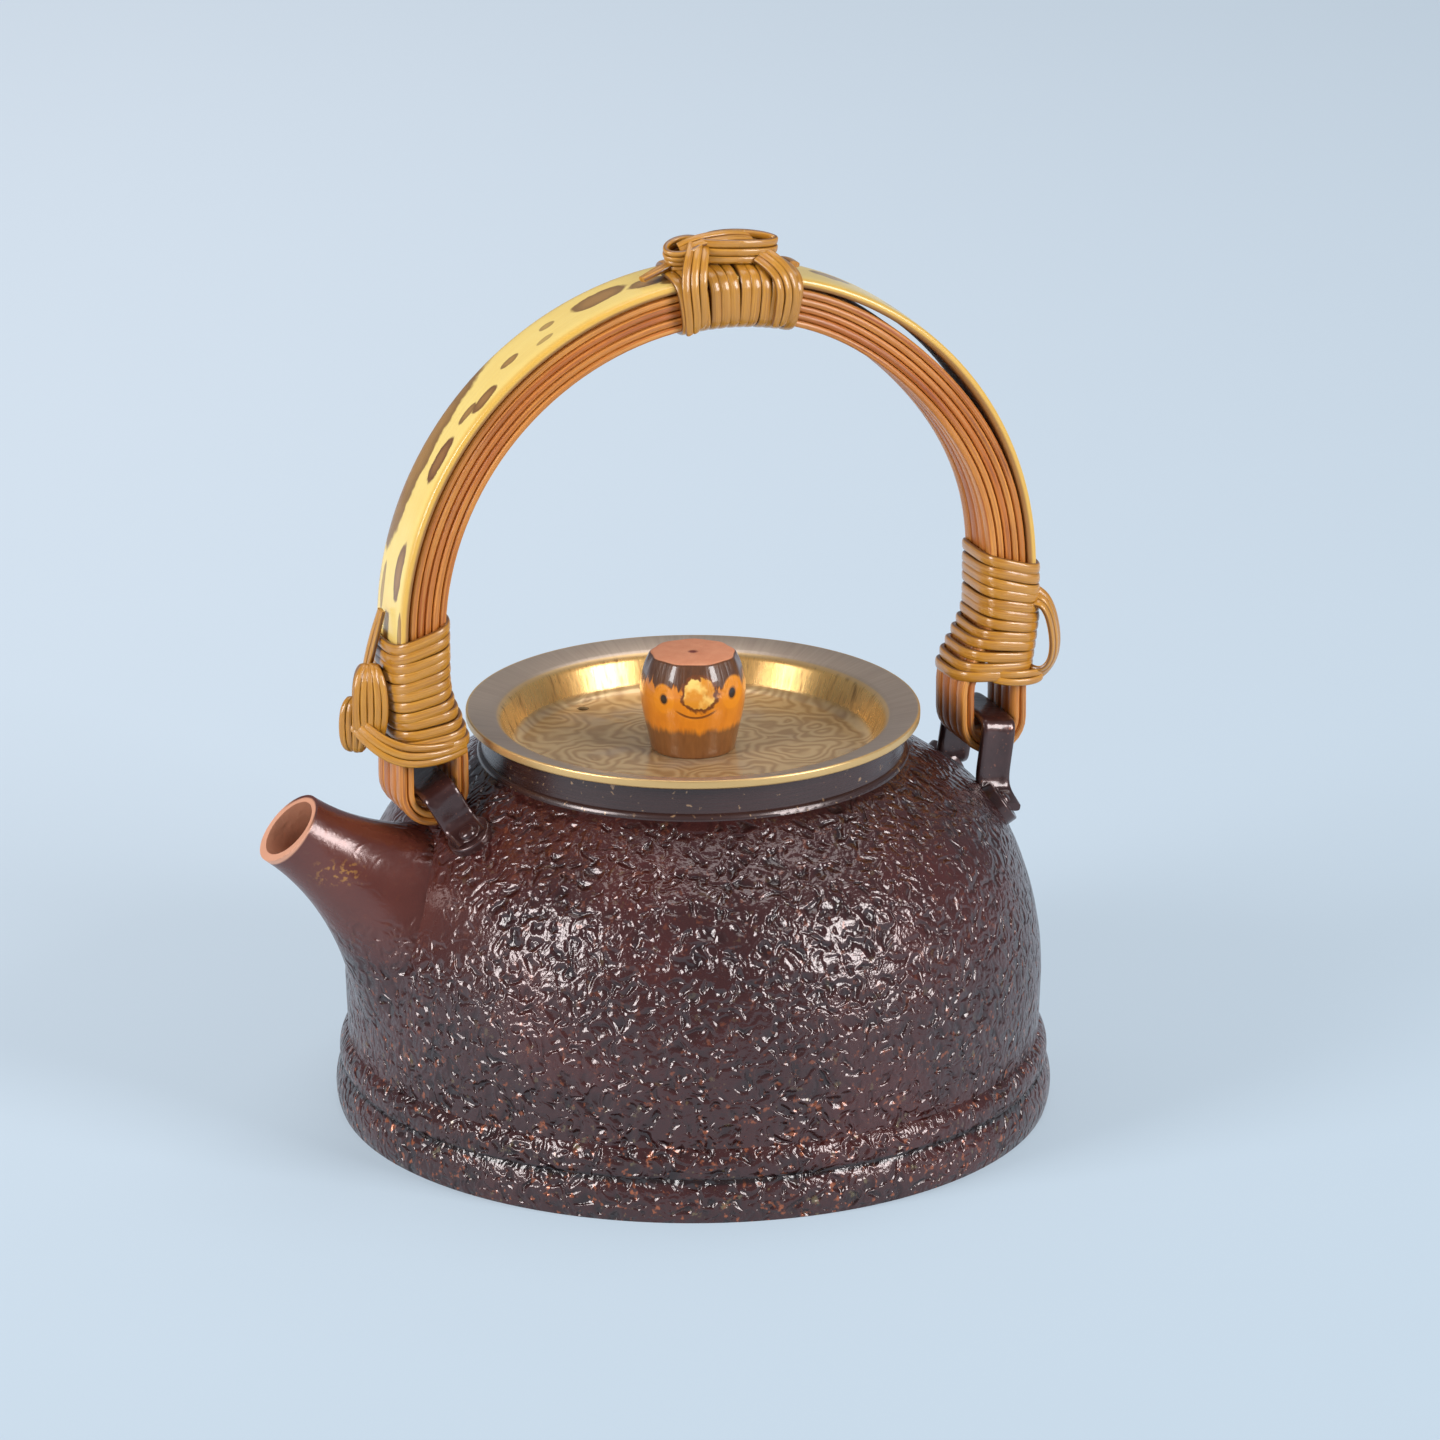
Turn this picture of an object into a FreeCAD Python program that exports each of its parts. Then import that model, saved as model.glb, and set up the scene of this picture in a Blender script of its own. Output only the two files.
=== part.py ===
import FreeCAD, Part
import math
import os
import re
import Sketcher

# Copper kettle with a drawn spout, a dished lid and a bamboo and rattan bail handle.
# Millimetres, +Z up, origin at the middle of the flat base, spout towards -X.

DIMENSIONS = [
    ("belly_radius", 64.1, "outer radius of the body at its widest"),
    ("belly_rise", 17.0, "height of the widest ring above the seam"),
    ("belly_arc", 58.0, "radius of the curve from belly to shoulder"),
    ("belly_turn", 25.5, "degrees that the belly curve turns inwards"),
    ("shoulder_arc", 22.0, "radius of the shoulder curve"),
    ("shoulder_slope", 55.0, "degrees from upright of the straight shoulder"),
    ("waist_inset", 0.4, "how far the waist lies inside the belly"),
    ("skirt_height", 5.5, "height of the flared skirt above the seam"),
    ("skirt_arc", 4.5, "radius of the skirt's bulge"),
    ("seam_flare", 0.7, "how far the seam with the base lies outside the belly"),
    ("wall", 1.6, "thickness of the body"),
    ("foot_height", 8.0, "height of the foot band"),
    ("base_flare", 0.6, "how far the flat base lies outside the seam"),
    ("foot_arc", 9.4, "radius of the foot band's bulge"),
    ("pan_thickness", 1.8, "thickness of the base pan"),
    ("neck_bore", 36.9, "radius of the opening under the lid"),
    ("seat_width", 2.6, "width of the ring where shoulder and collar meet"),
    ("collar_wall", 1.8, "thickness of the collar"),
    ("collar_height", 5.8, "height of the collar above its seat"),
    ("bead_height", 1.2, "height of the bead at the collar's foot"),
    ("spout_overhang", 13.8, "how far the lip's centre lies outside the belly"),
    ("spout_rise", 21.0, "height of the lip's centre above the shoulder curve's centre"),
    ("spout_length", 38.0, "length of the spout from lip to root, along its axis"),
    ("spout_slope", 37.5, "degrees above level of the spout's axis"),
    ("lip_slope", 44.0, "degrees above level that the mouth faces"),
    ("spout_radius", 7.25, "outer radius of the lip"),
    ("spout_root_radius", 25.5, "outer radius of the trumpet at its root"),
    ("spout_wall", 1.5, "thickness of the spout"),
    ("lid_overhang", 4.6, "how far the lid's edge lies outside the neck's opening"),
    ("lid_edge", 1.7, "height of the lid's rolled edge"),
    ("lid_hem", 1.2, "width of the lid's rolled edge"),
    ("lid_sheet", 1.2, "thickness of the lid's sheet"),
    ("lid_gap", 0.3, "clearance of the lid above the collar"),
    ("lid_fit", 0.5, "radial clearance of the lid in the neck"),
    ("flange_drop", 1.35, "how much the flange falls towards the dish"),
    ("dish_wall", 1.1, "thickness of the dish's wall at the flange, measured level"),
    ("dish_depth", 6.4, "depth of the dish below the flange"),
    ("dish_taper", 3.8, "how much narrower the dish's floor is than its top"),
    ("vent_radius", 1.1, "radius of the steam hole"),
    ("vent_inset", 3.3, "distance of the steam hole from the floor's edge"),
    ("vent_turn", 112.9, "degrees from the rear to the steam hole"),
    ("knob_base_radius", 7.7, "radius of the knob on the lid"),
    ("knob_top_radius", 7.85, "radius of the knob's cut top"),
    ("knob_height", 18.2, "height of the knob"),
    ("knob_arc", 21.7, "radius of the knob's barrel curve"),
    ("screw_radius", 1.5, "radius of the knob screw"),
    ("screw_clearance", 0.05, "radial clearance round the screw and rivets"),
    ("screw_bite", 10.5, "length of the screw inside the knob"),
    ("screw_hole_spare", 1.5, "depth of the knob's hole beyond the screw"),
    ("screw_head_radius", 3.0, "radius of the screw's head"),
    ("screw_head_height", 1.8, "height of the screw's head"),
    ("washer_radius", 4.2, "outer radius of the washer"),
    ("washer_thickness", 0.8, "thickness of the washer"),
    ("strap_width", 6.5, "width of an ear's strap"),
    ("strap_thickness", 1.6, "thickness of an ear's strap"),
    ("ear_play", 1.75, "room between the rattan bundle and an ear's legs"),
    ("ear_bend", 2.4, "inside radius of an ear's bends"),
    ("front_ear_inset", 11.9, "how far the front bridge lies inside the belly"),
    ("rear_ear_inset", 7.1, "how far the rear bridge lies inside the belly"),
    ("front_ear_lean", 30.0, "degrees that the front ear leans out"),
    ("rear_ear_lean", 8.0, "degrees that the rear ear leans out"),
    ("foot_margin", 1.7, "width of an ear's foot round the rivet's head"),
    ("rivet_radius", 1.5, "radius of a rivet's shank"),
    ("rivet_head_radius", 2.5, "radius of a rivet's head"),
    ("rivet_head_height", 1.1, "height of a rivet's head"),
    ("rivet_clearance", 0.6, "room between a rivet's head and the ear's leg"),
    ("rivet_tail_gap", 0.25, "room between the rivet's tail and the curved wall"),
    ("leg_height", 28.2, "height of the arch's centre above the bridges"),
    ("arch_shift", 0.9, "how far the arch sits behind the middle of the ears"),
    ("arch_swell", 1.8, "how much wider the arch is than the ears on each side"),
    ("bundle_core", 1.4, "room between the inner and the outer run of a splint"),
    ("splint_thickness", 2.8, "thickness of a rattan splint"),
    ("splint_width", 3.2, "width of a rattan splint"),
    ("splint_gap", 0.1, "gap between neighbouring splints"),
    ("splint_round", 0.75, "rounding of a splint's edges"),
    ("bamboo_gap", 0.1, "gap between the bundle and the bamboo"),
    ("bamboo_thickness", 2.0, "thickness of the bamboo strip"),
    ("bamboo_width", 13.5, "width of the bamboo strip"),
    ("bamboo_round", 0.9, "rounding of the bamboo's outer edges"),
    ("bamboo_end_rise", 1.0, "height of the bamboo's ends above the spread"),
    ("spread_rise", 5.2, "height above the bridges where the splints are spread fully"),
    ("spread_length", 14.0, "height over which the splints spread"),
    ("loop_hang", 0.5, "how far the loops' centres lie below the bridges"),
    ("loop_play", 0.55, "room between a loop and the strap's edge"),
    ("loop_clearance", 2.9, "room between the front loop and the dome below it"),
    ("skin_diameter", 1.6, "thickness of the wound rattan skin"),
    ("skin_spacing", 0.5, "room from one turn to the next"),
    ("skin_slack", 0.05, "room between a winding and what it holds"),
    ("skin_corner_spare", 0.15, "how much wider than the skin a winding bends at its corners"),
    ("skin_corner_room", 0.1, "room beside the rattan bundle for a winding's corners"),
    ("binding_turns", 12, "turns of each binding"),
    ("rear_binding_rise", 0.6, "height of the rear binding above the spout binding"),
    ("top_binding_shift", 3.4, "how far the top binding sits behind the arch's crown"),
    ("knot_turns", 4, "turns of each bow"),
    ("knot_spare", 0.3, "how much wider than its bends a bow is, on each side"),
    ("top_knot_length", 25.0, "length of the bow on the top"),
    ("leg_knot_length", 15.5, "length of the bows on the legs"),
    ("spout_knot_rise", 16.2, "height of the middle of the spout bow above the bridges"),
    ("rear_knot_rise", 14.7, "height of the middle of the rear bow above the bridges"),
]
SPLINTS = 4
SPOUT_SECTIONS = 6
LEAST_SKIN_GAP = 0.4

doc = FreeCAD.newDocument("kettle")
sheet = doc.addObject("Spreadsheet::Sheet", "Dimensions")
for row, (alias, value, meaning) in enumerate(DIMENSIONS, start=1):
    sheet.set(f"A{row}", alias)
    sheet.set(f"B{row}", str(value))
    sheet.setAlias(f"B{row}", alias)
    sheet.set(f"C{row}", meaning)
doc.recompute()
ALIASES = {alias for alias, value, meaning in DIMENSIONS}


def size(text):
    """The number that an expression on the sheet's names gives now."""
    return float(sheet.evalExpression(text))


def bound(text):
    """The same expression as another object reads it."""
    return re.sub(r"[a-z_]+", lambda word: ("Dimensions." if word[0] in ALIASES else "") + word[0], text)


def new_sketch(body, name, plane):
    sketch = body.newObject("Sketcher::SketchObject", name)
    support = [item for item in body.Origin.OriginFeatures if item.Role == plane][0]
    sketch.AttachmentSupport = [(support, "")]
    sketch.MapMode = "FlatFace"
    return sketch


def bind_constraint(sketch, constraint, text):
    index = sketch.addConstraint(constraint)
    sketch.setExpression(f"Constraints[{index}]", bound(text))


def draw_loop(sketch, corners):
    """A closed outline. A corner is (x, y) or (x, y, turn, radius), where an arc that turns
    left or right leads to it from the corner before. All are expressions on the sheet."""
    places = [FreeCAD.Vector(size(corner[0]), size(corner[1]), 0) for corner in corners]
    ends = []
    for index, corner in enumerate(corners):
        start = places[index - 1]
        end = places[index]
        if len(corner) == 2:
            geometry = sketch.addGeometry(Part.LineSegment(start, end))
            ends.append((geometry, 1, 2))
            continue
        left = 1 if corner[2] == "left" else -1
        radius = size(corner[3])
        chord = end - start
        side = FreeCAD.Vector(-chord.y, chord.x, 0).normalize() * left
        centre = (start + end) / 2 + side * math.sqrt(radius ** 2 - chord.Length ** 2 / 4)
        geometry = sketch.addGeometry(Part.Arc(start, centre - side * radius, end))
        ends.append((geometry, 1, 2) if left == 1 else (geometry, 2, 1))
        bind_constraint(sketch, Sketcher.Constraint("Radius", geometry, radius), corner[3])
    for index, corner in enumerate(corners):
        geometry, first, last = ends[index]
        following, joint, other = ends[(index + 1) % len(ends)]
        sketch.addConstraint(Sketcher.Constraint("Coincident", geometry, last, following, joint))
        for axis, kind, text, value in ((-2, "DistanceX", corner[0], places[index].x),
                                        (-1, "DistanceY", corner[1], places[index].y)):
            if text == "0":
                sketch.addConstraint(Sketcher.Constraint("PointOnObject", geometry, last, axis))
            else:
                distance = Sketcher.Constraint(kind, -1, 1, geometry, last, value)
                bind_constraint(sketch, distance, text)


def turned_body(name, corners):
    """A piece turned round the Z axis from an outline of radii and heights."""
    body = doc.addObject("PartDesign::Body", name)
    outline = new_sketch(body, f"{name}_outline", "XZ_Plane")
    draw_loop(outline, corners)
    turned = body.newObject("PartDesign::Revolution", f"{name}_turned")
    turned.Profile = outline
    turned.ReferenceAxis = (outline, ["V_Axis"])
    turned.Angle = 360
    return body


# The dome's outline, set in from the outer surface by a distance

SEAM_RADIUS = "(belly_radius + seam_flare)"
WAIST_RADIUS = "(belly_radius - waist_inset)"
BELLY_HEIGHT = "(foot_height + belly_rise)"
NECK_SEAT = "(neck_bore + seat_width)"
ARC_AXIS = "(belly_radius - belly_arc)"
KNEE_RADIUS = f"({ARC_AXIS} + (belly_arc - shoulder_arc)*cos(belly_turn))"
KNEE_HEIGHT = f"({BELLY_HEIGHT} + (belly_arc - shoulder_arc)*sin(belly_turn))"
NECK_HEIGHT = (f"({KNEE_HEIGHT} + shoulder_arc*sin(shoulder_slope)"
               f" + ({KNEE_RADIUS} + shoulder_arc*cos(shoulder_slope) - {NECK_SEAT})"
               "/tan(shoulder_slope))")
COLLAR_TOP = f"({NECK_HEIGHT} + collar_height)"


def dome_corners(inset):
    """From the waist up over the shoulder, ending where the straight shoulder starts."""
    return [
        (f"belly_radius - {inset}", BELLY_HEIGHT),
        (f"{ARC_AXIS} + (belly_arc - {inset})*cos(belly_turn)",
         f"{BELLY_HEIGHT} + (belly_arc - {inset})*sin(belly_turn)", "left", f"belly_arc - {inset}"),
        (f"{KNEE_RADIUS} + (shoulder_arc - {inset})*cos(shoulder_slope)",
         f"{KNEE_HEIGHT} + (shoulder_arc - {inset})*sin(shoulder_slope)", "left",
         f"shoulder_arc - {inset}"),
    ]


def shoulder_radius(height, inset):
    """Radius of the straight shoulder at a height, set in from the outer surface."""
    return (f"{NECK_SEAT} - {inset}/cos(shoulder_slope)"
            f" + ({NECK_HEIGHT} - {height})*tan(shoulder_slope)")


# Body: turned dome, drawn spout, then the hollow and the spout's bore

kettle_shell = turned_body("kettle_shell", [
    ("0", "foot_height"),
    (SEAM_RADIUS, "foot_height"),
    (WAIST_RADIUS, "foot_height + skirt_height", "left", "skirt_arc"),
    *dome_corners("0"),
    (NECK_SEAT, NECK_HEIGHT),
    ("0", NECK_HEIGHT),
])


SPOUT_REACH = "(belly_radius + spout_overhang)"
SPOUT_HEIGHT = f"({KNEE_HEIGHT} + spout_rise)"


def spout_rings(name, inset):
    """Circles along the spout, widening as a trumpet from the lip to the root."""
    rings = []
    for step in range(SPOUT_SECTIONS):
        share = f"({step}/{SPOUT_SECTIONS - 1})"
        ring = new_sketch(kettle_shell, f"{name}_{len(rings)}", "XY_Plane")
        tilt = FreeCAD.Rotation(FreeCAD.Vector(0, 1, 0), size("spout_slope - 90"))
        ring.AttachmentOffset = FreeCAD.Placement(FreeCAD.Vector(), tilt)
        ring.setExpression("AttachmentOffset.Base.x",
                           bound(f"spout_length*{share}*cos(spout_slope) - {SPOUT_REACH}"))
        ring.setExpression("AttachmentOffset.Base.z",
                           bound(f"{SPOUT_HEIGHT} - spout_length*{share}*sin(spout_slope)"))
        ring.setExpression("AttachmentOffset.Rotation.Angle", bound(
            f"spout_slope - 90 + (lip_slope - spout_slope)*(1 - {share})*(1 - {share})"))
        text = (f"spout_radius + (spout_root_radius - spout_radius)*{share}*{share}"
                f" - {inset}*(1 + {share}/2)")
        circle = ring.addGeometry(Part.Circle(FreeCAD.Vector(), FreeCAD.Vector(0, 0, 1), size(text)))
        ring.addConstraint(Sketcher.Constraint("Coincident", circle, 3, -1, 1))
        bind_constraint(ring, Sketcher.Constraint("Radius", circle, size(text)), text)
        rings.append(ring)
    return rings


def loft(kind, name, rings):
    feature = kettle_shell.newObject(kind, name)
    feature.Profile = rings[0]
    feature.Sections = rings[1:]
    return feature


loft("PartDesign::AdditiveLoft", "spout", spout_rings("spout_ring", "0"))

hollow_outline = new_sketch(kettle_shell, "hollow_outline", "XZ_Plane")
CEILING = f"({NECK_HEIGHT} - wall)"
draw_loop(hollow_outline, [
    ("0", "foot_height"),
    (f"{SEAM_RADIUS} - wall", "foot_height"),
    (f"{WAIST_RADIUS} - wall", "foot_height + skirt_height"),
    *dome_corners("wall"),
    (shoulder_radius(CEILING, "wall"), CEILING),
    ("neck_bore", CEILING),
    ("neck_bore", NECK_HEIGHT),
    ("0", NECK_HEIGHT),
])
hollow = kettle_shell.newObject("PartDesign::Groove", "hollow")
hollow.Profile = hollow_outline
hollow.ReferenceAxis = (hollow_outline, ["V_Axis"])
hollow.Angle = 360
loft("PartDesign::SubtractiveLoft", "spout_bore", spout_rings("bore_ring", "spout_wall"))

# Base pan with its foot band, and the collar on the shoulder

PAN_INNER = f"({SEAM_RADIUS} - pan_thickness)"
base_pan = turned_body("base_pan", [
    ("0", "0"),
    (f"{SEAM_RADIUS} + base_flare", "0"),
    (SEAM_RADIUS, "foot_height", "left", "foot_arc"),
    (PAN_INNER, "foot_height"),
    (PAN_INNER, "pan_thickness"),
    ("0", "pan_thickness"),
])
COLLAR_RADIUS = "(neck_bore + collar_wall)"
neck_collar = turned_body("neck_collar", [
    ("neck_bore", NECK_HEIGHT),
    (NECK_SEAT, NECK_HEIGHT),
    (COLLAR_RADIUS, f"{NECK_HEIGHT} + bead_height", "left", "bead_height"),
    (COLLAR_RADIUS, COLLAR_TOP),
    ("neck_bore", COLLAR_TOP),
])

# Lid: dished sheet with a sloping flange and a rolled edge

LID_RADIUS = "(neck_bore + lid_overhang)"
DISH_RADIUS = "(neck_bore - lid_fit)"
FLANGE_INNER = f"({DISH_RADIUS} - dish_wall)"
FLOOR_RADIUS = f"({DISH_RADIUS} - dish_taper)"
FLANGE_SLOPE = f"(flange_drop/({LID_RADIUS} - {FLANGE_INNER}))"
RIM_UNDER = f"({COLLAR_TOP} + lid_gap)"
RIM_TOP = f"({RIM_UNDER} + lid_sheet + ({LID_RADIUS} - {DISH_RADIUS})*{FLANGE_SLOPE})"
FLANGE_LOW = f"({RIM_TOP} - flange_drop)"
FLOOR_TOP = f"({FLANGE_LOW} - dish_depth)"
FLOOR_UNDER = f"({FLOOR_TOP} - lid_sheet)"
HEM_INNER = f"({LID_RADIUS} - lid_hem)"
SCREW_HOLE = "(screw_radius + screw_clearance)"
lid_blank = turned_body("lid_blank", [
    (SCREW_HOLE, FLOOR_UNDER),
    (f"{FLOOR_RADIUS} + lid_sheet", FLOOR_UNDER),
    (DISH_RADIUS, RIM_UNDER),
    (HEM_INNER, f"{RIM_UNDER} + ({HEM_INNER} - {DISH_RADIUS})*{FLANGE_SLOPE}"),
    (HEM_INNER, f"{RIM_TOP} - lid_edge"),
    (LID_RADIUS, f"{RIM_TOP} - lid_edge"),
    (LID_RADIUS, RIM_TOP),
    (FLANGE_INNER, FLANGE_LOW),
    (FLOOR_RADIUS, FLOOR_TOP),
    (SCREW_HOLE, FLOOR_TOP),
])
vent = doc.addObject("Part::Cylinder", "vent")
vent.setExpression("Radius", bound("vent_radius"))
vent.setExpression("Height", bound("lid_sheet*3"))
vent.setExpression("Placement.Base.x", bound(f"({FLOOR_RADIUS} - vent_inset)*cos(vent_turn)"))
vent.setExpression("Placement.Base.y", bound(f"({FLOOR_RADIUS} - vent_inset)*sin(vent_turn)"))
vent.setExpression("Placement.Base.z", bound(f"{FLOOR_UNDER} - lid_sheet"))
lid_dish = doc.addObject("Part::Cut", "lid_dish")
lid_dish.Base = lid_blank
lid_dish.Tool = vent

HOLE_TOP = f"({FLOOR_TOP} + screw_bite + screw_hole_spare)"
lid_knob = turned_body("lid_knob", [
    (SCREW_HOLE, FLOOR_TOP),
    ("knob_base_radius", FLOOR_TOP),
    ("knob_top_radius", f"{FLOOR_TOP} + knob_height", "left", "knob_arc"),
    ("0", f"{FLOOR_TOP} + knob_height"),
    ("0", HOLE_TOP),
    (SCREW_HOLE, HOLE_TOP),
])
knob_washer = turned_body("knob_washer", [
    (SCREW_HOLE, f"{FLOOR_UNDER} - washer_thickness"),
    ("washer_radius", f"{FLOOR_UNDER} - washer_thickness"),
    ("washer_radius", FLOOR_UNDER),
    (SCREW_HOLE, FLOOR_UNDER),
])
SCREW_SEAT = f"({FLOOR_UNDER} - washer_thickness)"
knob_screw = turned_body("knob_screw", [
    ("0", f"{SCREW_SEAT} - screw_head_height"),
    ("screw_head_radius/2", f"{SCREW_SEAT} - screw_head_height"),
    ("screw_head_radius", SCREW_SEAT, "left", "screw_head_radius"),
    ("screw_radius", SCREW_SEAT),
    ("screw_radius", f"{FLOOR_TOP} + screw_bite"),
    ("0", f"{FLOOR_TOP} + screw_bite"),
])


# Ears: a bent strap over each loop, with feet that follow the dome

BUNDLE_WIDTH = f"({SPLINTS}*splint_width + {SPLINTS - 1}*splint_gap)"
LOOP_INNER = "(strap_width/2 + loop_play)"
LOOP_OUTER = f"({LOOP_INNER} + splint_thickness)"
FRONT_REACH = "(belly_radius - front_ear_inset)"
REAR_REACH = "(belly_radius - rear_ear_inset)"
PAST_KNEE = f"({FRONT_REACH} - {KNEE_RADIUS})"
DOME_AT_FRONT = (f"({PAST_KNEE} > shoulder_arc*cos(shoulder_slope)"
                 f" ? {KNEE_HEIGHT} + sqrt(shoulder_arc*shoulder_arc - {PAST_KNEE}*{PAST_KNEE})"
                 f" : {NECK_HEIGHT} + ({NECK_SEAT} - {FRONT_REACH})/tan(shoulder_slope))")
LOOP_HEIGHT = f"({DOME_AT_FRONT} + loop_clearance + {LOOP_OUTER})"
BRIDGE_HEIGHT = f"({LOOP_HEIGHT} + loop_hang)"
EAR_HALF = f"({BUNDLE_WIDTH}/2 + ear_play)"
RIVET_SPREAD = f"({EAR_HALF} + strap_thickness + rivet_clearance + rivet_head_radius)"


def dome_solid(inset):
    """The dome as a solid, set in from the outer surface by a distance."""
    waist, belly_top, knee = [FreeCAD.Vector(size(corner[0]), 0, size(corner[1]))
                              for corner in dome_corners(inset)]
    top = FreeCAD.Vector(0, 0, knee.z + knee.x / math.tan(math.radians(size("shoulder_slope"))))
    low = FreeCAD.Vector(0, 0, waist.z)

    def curve(start, end, centre, radius):
        middle = ((start + end) / 2 - centre).normalize() * radius
        return Part.Arc(start, centre + middle, end).toShape()

    belly_centre = FreeCAD.Vector(size(ARC_AXIS), 0, size(BELLY_HEIGHT))
    knee_centre = FreeCAD.Vector(size(KNEE_RADIUS), 0, size(KNEE_HEIGHT))
    outline = Part.Wire([
        Part.makeLine(low, waist),
        curve(waist, belly_top, belly_centre, size(f"belly_arc - {inset}")),
        curve(belly_top, knee, knee_centre, size(f"shoulder_arc - {inset}")),
        Part.makeLine(knee, top),
        Part.makeLine(top, low),
    ])
    return Part.Face(outline).revolve(FreeCAD.Vector(), FreeCAD.Vector(0, 0, 1), 360)


def dome_place(x, y):
    """The point of the dome above x, y, and the way out of the surface there."""
    radius = math.hypot(x, y)
    slope = math.radians(size("shoulder_slope"))
    reach = radius - size(KNEE_RADIUS)
    turn = math.acos(max(-1, min(1, reach / size("shoulder_arc"))))
    if turn < slope:
        height = size(KNEE_HEIGHT) + size("shoulder_arc") * math.sin(turn)
    else:
        turn = slope
        height = size(NECK_HEIGHT) + (size(NECK_SEAT) - radius) / math.tan(slope)
    outward = FreeCAD.Vector(math.cos(turn) * x / radius, math.cos(turn) * y / radius, math.sin(turn))
    return FreeCAD.Vector(x, y, height), outward


def rivet_places(side, reach, lean):
    """Where the two feet of an ear are riveted: point and direction out of the dome."""
    x = side * reach
    for step in range(20):
        point, outward = dome_place(x, size(RIVET_SPREAD))
        x = side * (reach - (size(BRIDGE_HEIGHT) - point.z) * math.tan(math.radians(lean)))
    return [dome_place(x, size(RIVET_SPREAD) * hand) for hand in (-1, 1)]


def along(point, outward, shape):
    """A copy of a shape drawn on the Z axis, stood on a point and turned outward."""
    copy = shape.copy()
    copy.Placement = FreeCAD.Placement(point, FreeCAD.Rotation(FreeCAD.Vector(0, 0, 1), outward))
    return copy


def ear_shape(side, reach, lean):
    """The strap over the loop, its two feet on the dome and the rivet holes."""
    thickness = size("strap_thickness")
    width = size("strap_width")
    half = size(EAR_HALF)
    bend = size("ear_bend")
    drop = size(f"{BRIDGE_HEIGHT} - {BELLY_HEIGHT}")
    outer = Part.makeBox(2 * (half + thickness), width, drop)
    outer = outer.makeFillet(bend + thickness, [edge for edge in outer.Edges
                                                if edge.BoundBox.ZMin > drop - 0.1
                                                and edge.BoundBox.XLength < 0.1])
    inner = Part.makeBox(2 * half, width, drop, FreeCAD.Vector(thickness, 0, -thickness))
    inner = inner.makeFillet(bend, [edge for edge in inner.Edges
                                    if edge.BoundBox.ZMin > drop - thickness - 0.1
                                    and edge.BoundBox.XLength < 0.1])
    strap = outer.cut(inner)
    strap.translate(FreeCAD.Vector(-half - thickness, -width / 2, thickness / 2 - drop))
    strap.rotate(FreeCAD.Vector(), FreeCAD.Vector(0, 0, 1), 90)
    strap.rotate(FreeCAD.Vector(), FreeCAD.Vector(0, 1, 0), side * lean)
    strap.translate(FreeCAD.Vector(side * reach, 0, size(BRIDGE_HEIGHT)))

    dome = dome_solid("0")
    skin = dome_solid("(0 - strap_thickness)")
    ear = strap
    for point, outward in rivet_places(side, reach, lean):
        depth = 3 * thickness
        base = point - outward * depth
        disc = along(base, outward, Part.makeCylinder(size("rivet_head_radius + foot_margin"), 2 * depth))
        inward = FreeCAD.Vector(0, -1 if point.y > 0 else 1, 0)
        inward = (inward - outward * inward.dot(outward)).normalize()
        across = outward.cross(inward)
        length = size(f"{RIVET_SPREAD} - {EAR_HALF}")
        corner = base - across * (width / 2)
        tongue = Part.Face(Part.makePolygon([corner, corner + inward * length,
                                             corner + inward * length + across * width,
                                             corner + across * width, corner]))
        tongue = tongue.extrude(outward * (2 * depth))
        ear = ear.fuse(disc.fuse(tongue).common(skin))
    ear = ear.cut(dome)
    for point, outward in rivet_places(side, reach, lean):
        ear = ear.cut(along(point, outward, rivet_hole))
    return ear.removeSplitter()


def shape_piece(name, shape):
    piece = doc.addObject("Part::Feature", name)
    piece.Shape = shape
    return piece


rivet_blank = turned_body("rivet_blank", [
    ("0", "0 - wall - rivet_tail_gap - rivet_head_height"),
    ("rivet_head_radius", "0 - wall - rivet_tail_gap - rivet_head_height"),
    ("rivet_head_radius", "0 - wall - rivet_tail_gap"),
    ("rivet_radius", "0 - wall - rivet_tail_gap"),
    ("rivet_radius", "strap_thickness"),
    ("rivet_head_radius", "strap_thickness"),
    ("0", "strap_thickness + rivet_head_height", "left",
     "(rivet_head_radius*rivet_head_radius/rivet_head_height + rivet_head_height)/2"),
])
doc.recompute()
hole_reach = size("3*strap_thickness + wall")
rivet_hole = Part.makeCylinder(size("rivet_radius + screw_clearance"), 2 * hole_reach,
                               FreeCAD.Vector(0, 0, -hole_reach))

EARS = {
    "front_ear": (-1, size(FRONT_REACH), size("front_ear_lean")),
    "rear_ear": (1, size(REAR_REACH), size("rear_ear_lean")),
}
holes = []
for name, place in EARS.items():
    shape_piece(name, ear_shape(*place))
    rivets = [along(point, outward, rivet_blank.Shape) for point, outward in rivet_places(*place)]
    shape_piece(f"{name}_rivets", Part.makeCompound(rivets))
    holes += [along(point, outward, rivet_hole) for point, outward in rivet_places(*place)]
wall_holes = shape_piece("wall_holes", Part.makeCompound(holes))
kettle_body = doc.addObject("Part::Cut", "kettle_body")
kettle_body.Base = kettle_shell
kettle_body.Tool = wall_holes

# Handle: bamboo strip outside, rattan loops inside, hung under the two ears

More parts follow.
